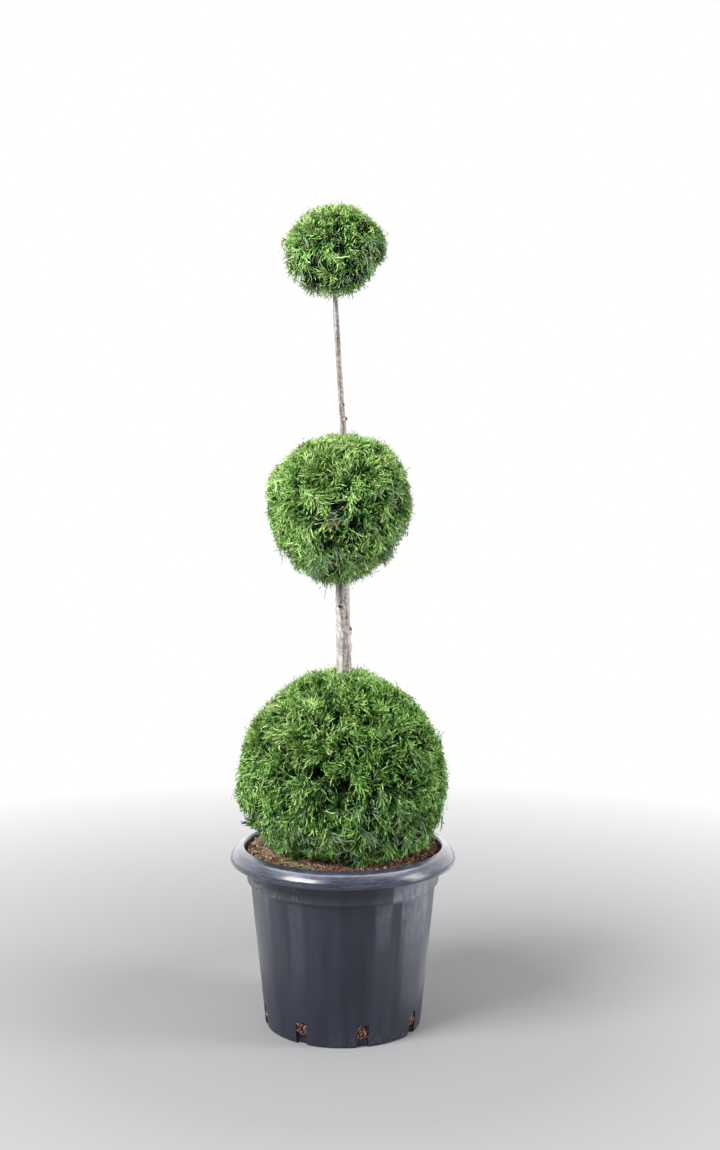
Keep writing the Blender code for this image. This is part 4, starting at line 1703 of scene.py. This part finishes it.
    def cut_notches(self, pot: Piece) -> None:
        """Cuts the drainage notches through the foot of the wall.

        Args:
            pot: the pot, which is changed.
        """
        cutters = bpy.data.collections.new("notch_cutters")
        bpy.context.scene.collection.children.link(cutters)
        height = self.notch_top + self.cutter_drop
        distance = self.foot_radius - self.notch_depth + self.cutter_length / 2
        for k in range(self.notches):
            bm = bmesh.new()
            bmesh.ops.create_cube(bm, size=1)
            bmesh.ops.scale(bm, vec=(self.notch_width, self.cutter_length, height), verts=bm.verts)
            bmesh.ops.translate(bm, vec=(0, -distance, self.notch_top - height / 2), verts=bm.verts)
            edges = bm.edges[:]
            bmesh.ops.bevel(
                bm, geom=edges, offset=self.notch_round, segments=3, affect="EDGES", profile=0.5
            )
            turn = Matrix.Rotation(math.radians(self.notch_phase) + k * math.tau / self.notches, 4, "Z")
            bmesh.ops.transform(bm, matrix=turn, verts=bm.verts)
            mesh = bpy.data.meshes.new("notch")
            bm.to_mesh(mesh)
            bm.free()
            cutters.objects.link(bpy.data.objects.new("notch", mesh))
        cut = pot.modifiers.new("notches", "BOOLEAN")
        cut.operand_type = "COLLECTION"
        cut.collection = cutters
        graph = bpy.context.evaluated_depsgraph_get()
        mesh = bpy.data.meshes.new_from_object(pot.evaluated_get(graph))
        pot.modifiers.clear()
        pot.data = mesh
        for cutter in list(cutters.objects):
            bpy.data.objects.remove(cutter)
        bpy.data.collections.remove(cutters)

    def banded(self, bearing: Points, height: Points, bands: Sequence[Sequence[float]]) -> Points:
        """How strong a set of upright bands is at each point.

        Args:
            bearing: the points' bearings, in degrees.
            height: their heights.
            bands: each band's bearings, heights and strength.

        Returns:
            The strength of the strongest band there.
        """
        strongest = np.zeros(len(bearing))
        for start, stop, low, full, strength in bands:
            side = smooth_step(bearing, start, start + self.bloom_edge)
            side = side * (1 - smooth_step(bearing, stop, stop + 2 * self.bloom_edge))
            strongest = np.maximum(strongest, strength * side * smooth_step(height, low, full))
        return strongest

    def mark_wear(self, pot: Piece) -> None:
        """Writes where the plastic is the handled rim and where it is scuffed, and where reflection bands, a
        highlight line and a dark reflection are painted on it.

        Args:
            pot: the pot, which gets four attributes.
        """
        points = np.empty(len(pot.data.vertices) * 3, np.float32)
        pot.data.vertices.foreach_get("co", points)
        points = points.reshape(-1, 3).astype(float)
        bearing = np.degrees(np.arctan2(points[:, 1], points[:, 0]))
        radius, height = np.hypot(points[:, 0], points[:, 1]), points[:, 2]
        rim = smooth_step(radius, *(self.collar_top_radius + step for step in self.handled_span))
        collar = sum(strength * bell(bearing - middle, half) for middle, half, strength in self.scuffs)
        on_collar = smooth_step(height, self.body_top[1], self.collar_foot[1])
        collar = collar * on_collar * (1 - rim)
        middle, half, strength = self.foot_scuff
        foot = strength * bell(bearing - middle, half)
        foot = foot * (1 - smooth_step(height, *self.foot_scuff_heights))
        # Painted highlight: a pale line along the collar's foot
        rise, half, strength = self.edge_line
        edge_line = strength * bell(height - self.collar_foot[1] - rise, half) * (1 - rim)
        bloom = self.banded(bearing, height, self.blooms) * (1 - on_collar)
        bloom = (bloom + self.banded(bearing, height, self.collar_blooms) * on_collar) * (1 - rim)
        write_at_points(pot, "rim", rim)
        write_at_points(pot, "scuff", np.clip(collar + foot, 0, 1))
        write_at_points(pot, "bloom", bloom + edge_line)
        # Painted dark reflection band on the front
        write_at_points(pot, "clean", self.banded(bearing, height, self.cleans) * (1 - rim))

    def build(self) -> Piece:
        """The pot as one turned piece with its notches cut."""
        outline = self.profile()[1:-1]
        angle = ring_angles(self.steps)
        radius, height = outline[:, :1], outline[:, 1:]
        spread = radius * (1 + self.wobble(angle[None], height))
        points = level_direction(angle) * spread[..., None] + UP * height[..., None]
        faces = grid_faces(len(outline), self.steps)
        pot = mesh_object("nursery_pot", points.reshape(-1, 3), faces, [PlasticFinish().material()])
        close_ends(pot)
        self.cut_notches(pot)
        pot.data.shade_smooth()
        pot.data.set_sharp_from_angle(angle=math.radians(self.sharp_angle))
        self.mark_wear(pot)
        dress(pot, "pot_plastic", "pot")
        return pot


# Compost


@dataclass(frozen=True)
class Compost:
    """The crumbly compost in its pot, with bits of bark, fibres and fallen sprays on it."""

    pot: Pot
    top: float = 0.311
    edge_drop: float = 0.003
    # Radius, and the share of the drop there
    fall: tuple[Range, ...] = ((0.0, 0.0), (0.036, 0.0), (0.100, 0.35), (0.155, 0.75), (0.174, 1.0))
    clearance: float = 0.0006
    hole: float = 0.004
    rings: int = 80
    steps: int = 240
    lumps: float = 0.0022
    lump_layers: NoiseLayers = (((60,) * 3, 1), ((170,) * 3, 0.8), ((420,) * 3, 0.5))
    # How far in from the wall the lumps grow calm, and by what share
    calm_width: float = 0.006
    calm_share: float = 0.8
    side_rings: int = 12
    side_top: float = 0.004
    side_lumps: float = 150
    side_depth: float = 0.0035
    # How far below the top the side grows fully dark, as painted shade
    dark_depth: float = 0.03
    seed: int = 5
    # No bits lie nearer to the axis than this
    bare_radius: float = 0.085

    chips: int = 3000
    chip_margin: float = 0.003
    chip_size: float = 0.0009
    chip_spread: float = 0.45
    chip_stretch: Range = (0.5, 1.8)
    chip_skew: float = 0.45
    chip_lift: float = 0.0022
    chip_kinds: tuple[Litter, ...] = (
        Litter.RUST, Litter.RUST, Litter.UMBER, Litter.UMBER, Litter.PEAT, Litter.FIBRE,
    )

    fibres: int = 1700
    fibre_margin: float = 0.014
    fibre_lengths: Range = (0.005, 0.013)
    fibre_bend: float = 0.25
    fibre_lift: Range = (0.0008, 0.0032)
    fibre_arch: tuple[float, ...] = (0.6, 1.2, 1.4, 1.1, 0.5)
    fibre_radius: float = 0.00028
    fibre_taper: tuple[float, ...] = (0.6, 1, 1, 1, 0.4)
    pale_fibre_share: float = 0.55

    roots_a_notch: int = 54
    root_margin: float = 0.002
    root_depth: float = 0.0022
    root_reach: float = 0.44
    root_climb: float = 1.3
    root_lengths: Range = (0.004, 0.010)
    root_bulge: Range = (0.0004, 0.0034)
    root_radius: float = 0.00045
    root_spread: float = 0.35
    root_taper: tuple[float, ...] = (0.7, 1, 1, 1, 0.5)
    root_kinds: tuple[Litter, ...] = (Litter.ROOT, Litter.ROOT, Litter.UMBER, Litter.PEAT, Litter.FIBRE)

    fallen: int = 150
    fallen_tries: int = 900
    fallen_radius: float = 0.110
    # Most fall to the front left of this place: the share of tries that stay there, and elsewhere
    heap_corner: Range = (-0.05, 0.06)
    heap_shares: Range = (0.95, 0.14)
    fallen_lift: Range = (0.0025, 0.0045)
    fallen_slope: Range = (-0.10, 0.05)
    fallen_roll: float = 0.25
    fallen_lengths: Range = (0.012, 0.024)
    fallen_bend: float = 0.08
    fallen_width: float = 0.7
    fallen_margin: float = 0.001
    fallen_kinds: tuple[Litter, ...] = (
        Litter.DRY_LEAF, Litter.GREEN_LEAF, Litter.FIBRE, Litter.FIBRE, Litter.RUST,
    )

    def plain_height(self, radius: Points) -> Points:
        """The height of the surface at a radius, without its lumps."""
        radii, shares = zip(*self.fall)
        return self.top - self.edge_drop * np.interp(radius, radii, shares)

    def height_at(self, points: Points) -> Points:
        """The height of the surface under or over each point, without its lumps."""
        return self.plain_height(np.hypot(points[..., 0], points[..., 1]))

    def edge_radius(self, height: float) -> float:
        """The radius inside the pot's wall at a height."""
        radii, heights = zip(*self.pot.inner_wall(), self.pot.over_rim()[0])
        return float(np.interp(height, heights, radii)) - self.clearance

    @property
    def edge(self) -> float:
        """The radius of its top."""
        return self.edge_radius(self.top - self.edge_drop)

    def build_body(self) -> None:
        """The fill itself: a lumpy top and a plain side down to the pot's floor."""
        edge, edge_height = self.edge, self.top - self.edge_drop
        radii = np.linspace(self.hole, edge, self.rings)
        ring = level_direction(ring_angles(self.steps))
        top = ring[None] * radii[:, None, None]
        lump = noise_sum(top, self.lump_layers)
        calm = 1 - self.calm_share * smooth_step(radii, edge - self.calm_width, edge)[:, None]
        top[..., 2] = self.plain_height(radii)[:, None] + self.lumps * lump * calm
        side_span = (edge_height - self.side_top, self.pot.floor_top + self.clearance)
        bends = [height for _, height in self.pot.inner_wall()[1:3]]
        levels = np.sort(np.append(np.linspace(*side_span, self.side_rings), bends))[::-1]
        side = np.stack([ring * self.edge_radius(level) + UP * level for level in levels])
        hollow = self.side_depth * np.abs(noise_at(side, (self.side_lumps,) * 3))
        side = side * (1 - hollow[..., None] * np.array((1, 1, 0)))
        points = np.concatenate((top, side), axis=0).reshape(-1, 3)
        faces = grid_faces(self.rings + len(levels), self.steps)
        body = mesh_object("compost", points, faces, [CompostFinish().material()])
        # Painted shade: the side darkens below the top
        sunk = 1 - smooth_step(points[:, 2], edge_height - self.dark_depth, edge_height)
        write_at_points(body, "sunk", sunk)
        close_ends(body)
        dress(body, "compost", "soil")

    def scatter(self, count: int, inner: float, outer: float, chance: Chance) -> Points:
        """Places on the surface, spread evenly by area between two radii."""
        radius = np.sqrt(chance.uniform(inner**2, outer**2, count))
        places = level_direction(chance.uniform(0, math.tau, count)) * radius[:, None]
        return places + UP * self.plain_height(radius)[:, None]

    def chip_mesh(self) -> Mesh:
        """Crumbs and bits of bark: small boxes, each with its corners pushed about.

        Returns:
            The points, the faces and each chip's kind.
        """
        chance = np.random.default_rng(self.seed)
        many = (self.chips, 1, 1)
        centres = self.scatter(self.chips, self.bare_radius, self.edge - self.chip_margin, chance)
        corners = np.array([(x, y, z) for x in (-1, 1) for y in (-1, 1) for z in (-1, 1)], float)
        quads = np.array(((0, 1, 3, 2), (4, 6, 7, 5), (0, 4, 5, 1), (2, 3, 7, 6), (0, 2, 6, 4), (1, 5, 7, 3)))
        size = self.chip_size * np.exp(chance.normal(0, self.chip_spread, many))
        size = size * chance.uniform(*self.chip_stretch, (self.chips, 1, 3))
        skew = chance.uniform(-self.chip_skew, self.chip_skew, (self.chips, len(corners), 3))
        shape = (corners[None] + skew) * size
        axis = unit(chance.normal(0, 1, (self.chips, 1, 3)))
        turn = chance.uniform(0, math.pi, many)
        turned = (
            shape * np.cos(turn)
            + np.cross(axis, shape) * np.sin(turn)
            + axis * np.sum(axis * shape, axis=-1, keepdims=True) * (1 - np.cos(turn))
        )
        centres[:, 2] += chance.uniform(0.0, self.chip_lift, self.chips)
        points = (centres[:, None] + turned).reshape(-1, 3)
        faces = quads[None] + len(corners) * np.arange(self.chips)[:, None, None]
        return points, faces.reshape(-1, 4), dealt(self.chip_kinds, self.chips, chance)

    def fibre_mesh(self) -> Mesh:
        """Coir fibres that lie on the surface in loose bends.

        Returns:
            The points, the faces and each fibre's kind.
        """
        chance = np.random.default_rng(self.seed + 1)
        starts = self.scatter(self.fibres, self.bare_radius, self.edge - self.fibre_margin, chance)
        heading = level_direction(chance.uniform(0, math.tau, self.fibres))
        length = chance.uniform(*self.fibre_lengths, (self.fibres, 1))
        ends = starts + heading * length
        bend = chance.normal(0, self.fibre_bend, starts.shape) * (1, 1, 0) * length
        bend = starts + heading * length / 2 + bend
        ends[:, 2], bend[:, 2] = self.height_at(ends), self.height_at(bend)
        paths = bent_paths(starts, bend, ends, len(self.fibre_arch))
        paths[..., 2] += chance.uniform(*self.fibre_lift, (self.fibres, 1)) * np.array(self.fibre_arch)
        radii = np.broadcast_to(self.fibre_radius * np.array(self.fibre_taper), paths.shape[:2])
        pale = chance.random(self.fibres) < self.pale_fibre_share
        return *tubes(paths, radii, 3), np.where(pale, Litter.FIBRE.slot, Litter.RUST.slot)

    def root_mesh(self) -> Mesh:
        """Roots and fibres that show in the drainage notches.

        Returns:
            The points, the faces and each root's kind.
        """
        pot, chance = self.pot, np.random.default_rng(self.seed + 2)
        count = self.roots_a_notch * pot.notches
        notch = np.repeat(np.arange(pot.notches), self.roots_a_notch)
        turn = np.radians(pot.notch_phase) + notch * math.tau / pot.notches - math.pi / 2
        levels = (pot.floor_top + self.root_margin, pot.notch_top - self.root_margin)
        level = chance.uniform(*levels, count)
        radius = self.edge_radius(pot.floor_top) + chance.uniform(0.0, self.root_depth, count)
        sideways = chance.uniform(-self.root_reach, self.root_reach, count) * pot.notch_width
        out = level_direction(turn)
        aside = np.cross(UP, out)
        starts = out * radius[:, None] + aside * sideways[:, None] + UP * level[:, None]
        heading = aside * chance.normal(0, 1, (count, 1)) + UP * chance.normal(0, self.root_climb, (count, 1))
        ends = starts + unit(heading) * chance.uniform(*self.root_lengths, (count, 1))
        ends[:, 2] = np.clip(ends[:, 2], pot.floor_top, pot.notch_top - self.root_margin / 2)
        bend = (starts + ends) / 2 + out * chance.uniform(*self.root_bulge, (count, 1))
        paths = bent_paths(starts, bend, ends, len(self.root_taper))
        thick = self.root_radius * np.exp(chance.normal(0, self.root_spread, (count, 1)))
        return *tubes(paths, thick * np.array(self.root_taper), 4), dealt(self.root_kinds, count, chance)

    def fallen_mesh(self, pattern: SprayPattern) -> Mesh:
        """Clippings that lie on the compost, most of them dry and to the left.

        Args:
            pattern: the fan that they are cut from.

        Returns:
            The points, the faces and each face's kind.
        """
        chance = np.random.default_rng(self.seed + 3)
        outer = self.edge - self.fibre_margin
        roots = self.scatter(self.fallen_tries, self.fallen_radius, outer, chance)
        heaped = (roots[:, 0] < self.heap_corner[0]) & (roots[:, 1] < self.heap_corner[1])
        stays = chance.random(len(roots)) < np.where(heaped, *self.heap_shares)
        roots = roots[stays][: self.fallen]
        count = len(roots)
        roots[:, 2] += chance.uniform(*self.fallen_lift, count)
        along = level_direction(chance.uniform(0, math.tau, count))
        along[:, 2] = chance.uniform(*self.fallen_slope, count)
        across = unit(np.cross(UP, along) + UP * chance.normal(0, self.fallen_roll, (count, 1)))
        tint = dealt(self.fallen_kinds, count, chance)
        lengths = chance.uniform(*self.fallen_lengths, count)
        bend = chance.normal(0, self.fallen_bend, roots.shape) * (1, 1, 0)
        blades = pattern.placed(Placement(roots, unit(along), across, bend, lengths, tint), chance)
        blades.width *= self.fallen_width
        inside = np.hypot(blades.tip[:, 0], blades.tip[:, 1]) < self.edge - self.fallen_margin
        return blades.kept(inside & (blades.tip[:, 2] > self.height_at(blades.tip))).mesh_parts()

    def build(self, pattern: SprayPattern) -> None:
        """The compost and all that lies on it.

        Args:
            pattern: the fan that clippings are cut from.
        """
        materials = Litter.materials()
        self.build_body()
        bits = {
            "bark_chips": self.chip_mesh(),
            "coir_fibres": self.fibre_mesh(),
            "fallen_sprays": self.fallen_mesh(pattern),
            "notch_roots": self.root_mesh(),
        }
        for name, (points, faces, kinds) in bits.items():
            slots = np.repeat(kinds, len(faces) // len(kinds))
            piece = mesh_object(name, points, faces, materials, slots, smooth=name != "bark_chips")
            dress(piece, "compost")


def all_of(kind: type[Swell], *rows: tuple[float, ...]) -> tuple[Swell, ...]:
    """Swells or hollows, each from its bearing, elevation, rise and spread."""
    return tuple(kind(*row) for row in rows)


def clipped_balls(stock: Stock) -> tuple[FoliageBall, ...]:
    """The three balls, with the centres and sizes of their solids."""
    low = FoliageBall(
        stock, "low", (0.001, 0, 0.448), 0.189, 0.189, 0.170, 2.4, 46, 11,
        all_of(
            Swell, (20, 42, -0.012, 26), (184, -13, 0.008, 10), (-114, -50, -0.017, 18),
            (-155, -46, -0.008, 14), (-45, -50, -0.010, 12),
        ),
        all_of(
            Hollow, (-89, 30, 0.93, 4), (-105, 11, 0.93, 3.6), (-101, 5, 0.83, 2.6), (-92, 1, 0.93, 3.4),
            (-108, -3, 0.83, 2.6), (-49, 26, 0.93, 3.4), (-110, 41, 0.88, 2.8), (-103, 49, 0.83, 2.6),
            (-80, 51, 0.83, 2.8), (-120, 9, 0.83, 2.4), (-76, -10, 0.78, 3.2), (-61, -3, 0.83, 2.6),
            (-49, 5, 0.83, 2.4), (-95, -21, 0.83, 2.8), (-60, -28, 0.78, 3), (-92, -37, 0.88, 3.2),
            (-90, -44, 0.88, 3.2), (-113, -33, 0.80, 2.4),
        ),
        1000, 7900, 1100, all_of(Swell, (-140, 38, 0.16, 30)), (),
        all_of(Swell, (-122, 36, 0.20, 26), (-22, 5, 0.18, 24), (-75, 4, -0.10, 26)),
        ((-60, 72.6, 0.98, -65.6, 73.8, 1.13), (-56.6, 72, 1.0, -58, 73, 1.10)),
        vigour=0.22, fringe_below=-0.55,
    )
    middle = FoliageBall(
        stock, "middle", (-0.008, 0, 0.940), 0.133, 0.121, 0.156, 2.0, 30, 23,
        all_of(
            Swell, (10, 50, 0.010, 22), (0, -18, 0.001, 20), (180, -46, -0.004, 20),
            (0, -68, -0.015, 22), (180, -68, -0.008, 18), (180, 42, -0.007, 14),
        ),
        all_of(
            Hollow, (-85, 8, 0.95, 5.5), (-74, -14, 0.88, 5.5), (-96, -35, 0.88, 5), (-71, 27, 0.78, 4.5),
            (-104, -27, 0.78, 4), (-89, -8, 0.78, 4), (-110, 14, 0.80, 6), (-97, 30, 0.55, 3.5),
            (-79, -38, 0.7, 4),
        ),
        500, 3900, 560, (), all_of(Swell, (-110, 14, 0.95, 10), (-95, -33, 0.45, 9)),
        all_of(
            Swell, (-118, 32, 0.64, 24), (-126, -34, 0.16, 22), (-55, -42, 0.34, 16), (-62, -10, -0.16, 16)
        ),
        ((-135, -78.6, 0.95, -130.4, -77.4, 1.20),),
        vigour=0.38, dry_share=0.09, grey_share=0.36,
    )
    top = FoliageBall(
        stock, "top", (-0.0127, 0, 1.389), 0.0945, 0.087, 0.0790, 2.0, 20, 37,
        all_of(
            Swell, (0, -27, -0.022, 14), (0, -12, -0.005, 8), (0, -55, -0.004, 15),
            (180, -42, 0.008, 22), (60, 86, 0.003, 20),
        ),
        all_of(
            Hollow, (-110, 1, 0.88, 6.5), (-82, -3, 0.93, 7), (-51, -4, 0.83, 5.5), (-77, -16, 0.83, 5),
            (-64, -40, 0.88, 6),
        ),
        260, 1950, 280, all_of(Swell, (-123, 40, 0.20, 16)), (),
        all_of(Swell, (-123, 40, 0.45, 18), (-90, -45, 0.30, 30)),
        vigour=0.30, dry_share=0.11, grey_share=0.46,
        fringe_below=-0.80, thin_below=-0.40, thin_share=0.62, open_below=-0.35,
    )
    return low, middle, top


# Studio


def area_light(name: str, size: Range, power: float) -> Piece:
    """A rectangular light that the camera doesn't see.

    Args:
        name: its name.
        size: its two sides.
        power: its power in watts.

    Returns:
        The light, linked to the scene.
    """
    data = bpy.data.lights.new(name, "AREA")
    data.shape = "RECTANGLE"
    data.size, data.size_y = size
    data.energy = power
    light = bpy.data.objects.new(name, data)
    light.visible_camera = False
    bpy.context.scene.collection.objects.link(light)
    return light


@dataclass(frozen=True)
class Softbox:
    """A rectangular light: where it stands, what it points at, its size and its power in watts."""

    name: str
    place: Triple
    aim: Triple
    size: Range
    power: float
    glossy_only: bool = False

    def build(self, pot: Piece) -> None:
        """Sets up the light, or one that shows only as a gleam on the pot.

        Args:
            pot: the pot.
        """
        light = area_light(self.name, self.size, self.power)
        if self.glossy_only:
            light.visible_diffuse = False
            light.light_linking.receiver_collection = bpy.data.collections.new(self.name)
            light.light_linking.receiver_collection.objects.link(pot)
        light.location = self.place
        light.rotation_mode = "QUATERNION"
        light.rotation_quaternion = (Vector(self.aim) - Vector(self.place)).to_track_quat("-Z", "Y")


@dataclass(frozen=True)
class FloorCard:
    """A white card that lies on the floor and shows only in reflections."""

    name: str
    place: Range
    size: Range
    bearing: float
    radiance: float
    height: float = 0.004

    def build(self) -> None:
        """Sets up the card as a light that faces up."""
        card = area_light(self.name, self.size, self.radiance * math.pi * self.size[0] * self.size[1])
        card.visible_diffuse = False
        card.location = (*self.place, self.height)
        card.rotation_euler = (math.pi, 0, math.radians(self.bearing))


@dataclass(frozen=True)
class Studio:
    """The pale floor, the soft lights and the camera at the photograph's viewing angle."""

    camera_distance: float = 3.06
    camera_height: float = 1.13
    lens: float = 52.87
    shift: Range = (0.0148, -0.1565)
    floor_radius: float = 40.0
    floor_colour: Colour = (0.30, 0.30, 0.305)
    floor_fade: Range = (0.45, 1.9)
    # The surround's strength, and the spans of a direction's height and depth that it changes over
    glow_above: float = 1.05
    glow_level: float = 0.55
    glow_heights: Range = (-0.1, 1.0)
    wall_behind: float = 3.5
    wall_in_front: float = 0.20
    wall_depths: Range = (-0.5, 0.6)
    softboxes: tuple[Softbox, ...] = (
        Softbox("key_left", (-2.05, -1.75, 2.6), (0, 0, 0.8), (1.7, 1.1), 175),
        Softbox("fill_right", (2.3, -0.5, 1.2), (0, 0, 0.7), (0.8, 1.7), 55),
        Softbox("panel_above", (0, 0.15, 2.9), (0, 0.15, 0.3), (4.4, 2.1), 200, True),
    )

    # The long side of each card runs away from the pot along its bearing, in degrees from the right
    cards: tuple[FloorCard, ...] = (
        FloorCard("card_right", (0.62, 0.12), (0.80, 0.52), 0, 0.7),
        FloorCard("card_front", (0.48, -0.40), (0.60, 0.15), -32, 0.45),
        FloorCard("card_left", (-0.62, 0.22), (0.70, 0.50), 172, 0.6),
        FloorCard("strip_left", (-0.46, -0.31), (0.55, 0.07), 205, 0.8),
        FloorCard("far_left", (-1.15, 0.70), (1.0, 1.0), 0, 1.3),
        FloorCard("far_right", (1.15, 0.70), (1.0, 1.0), 0, 2.6),
    )

    def build_floor(self) -> None:
        """A wide pale floor, a hair under the pot, that fades into the white surround."""
        bm = bmesh.new()
        bmesh.ops.create_circle(bm, cap_ends=True, segments=96, radius=self.floor_radius)
        mesh = bpy.data.meshes.new("floor")
        bm.to_mesh(mesh)
        bm.free()
        floor = bpy.data.objects.new("floor", mesh)
        floor.location.z = -0.0005
        shader = Shader("floor_paint")
        shader.set(Base_Color=self.floor_colour, Roughness=0.9, Specular_IOR_Level=0.1)
        distance = shader.add("VectorMath")
        distance.operation = "LENGTH"
        shader.link(shader.place(), distance, 0)
        far = shader.span(distance.outputs["Value"], *self.floor_fade, 0, 1)
        fade = shader.mixed_light(far, shader.principled, shader.add("Emission"))
        shader.link(fade.outputs[0], shader.tree.nodes["Material Output"], "Surface")
        mesh.materials.append(shader.material)
        bpy.context.scene.collection.objects.link(floor)

    def build_camera(self) -> None:
        """A level camera in front of the plant."""
        data = bpy.data.cameras.new("camera")
        data.lens = self.lens
        data.sensor_width = 36
        data.shift_x, data.shift_y = self.shift
        camera = bpy.data.objects.new("camera", data)
        camera.location = (0, -self.camera_distance, self.camera_height)
        camera.rotation_euler = (math.pi / 2, 0, 0)
        bpy.context.scene.collection.objects.link(camera)
        bpy.context.scene.camera = camera

    def build_sky(self) -> None:
        """A white backdrop, and a soft light from all round that is stronger from above."""
        world = bpy.data.worlds.new("surround")
        world.use_nodes = True
        nodes = Nodes(world.node_tree)
        backdrop = nodes.tree.nodes["Background"]
        backdrop.inputs["Color"].default_value = (1, 1, 1, 1)
        axes = nodes.add("SeparateXYZ")
        nodes.link(nodes.add("TexCoord").outputs["Generated"], axes, 0)
        glow, wall = nodes.add("Background"), nodes.add("Background")
        level = nodes.span(axes.outputs["Z"], *self.glow_heights, self.glow_level, self.glow_above)
        behind = nodes.span(axes.outputs["Y"], *self.wall_depths, self.wall_in_front, self.wall_behind)
        nodes.link(level, glow, "Strength")
        nodes.link(behind, wall, "Strength")
        path = nodes.add("LightPath")
        mirrored = nodes.mixed_light(path.outputs["Is Glossy Ray"], glow, wall)
        seen = nodes.mixed_light(path.outputs["Is Camera Ray"], mirrored, backdrop)
        nodes.link(seen.outputs[0], nodes.tree.nodes["World Output"], "Surface")
        bpy.context.scene.world = world
        bpy.context.scene.view_settings.view_transform = "Standard"

    def build(self, pot: Piece) -> None:
        """Sets up the whole studio.

        Args:
            pot: the pot, which one light is for.
        """
        self.build_floor()
        self.build_camera()
        self.build_sky()
        for softbox in self.softboxes:
            softbox.build(pot)
        for card in self.cards:
            card.build()


def main() -> None:
    """Builds the pot, the compost, the stem, the three balls and the studio."""
    logging.basicConfig(level=logging.INFO, format="%(name)s %(message)s")
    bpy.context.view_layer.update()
    chance = np.random.default_rng(FAN_SEED)
    fans = [FanHabit(5, 0.19).grow(chance) for _ in range(FANS)]
    litter = FanHabit(6, 0.13).grow(chance)
    coarse = FanHabit(5, 0.20, 2.6).grow(chance)
    trunk, pot = Trunk(), Pot()
    compost = Compost(pot)
    Studio().build(pot.build())
    compost.build(litter)
    trunk.build()
    for ball in clipped_balls(Stock(trunk, compost, fans, coarse, Tint.materials())):
        ball.build()


if __name__ == "__main__":
    main()
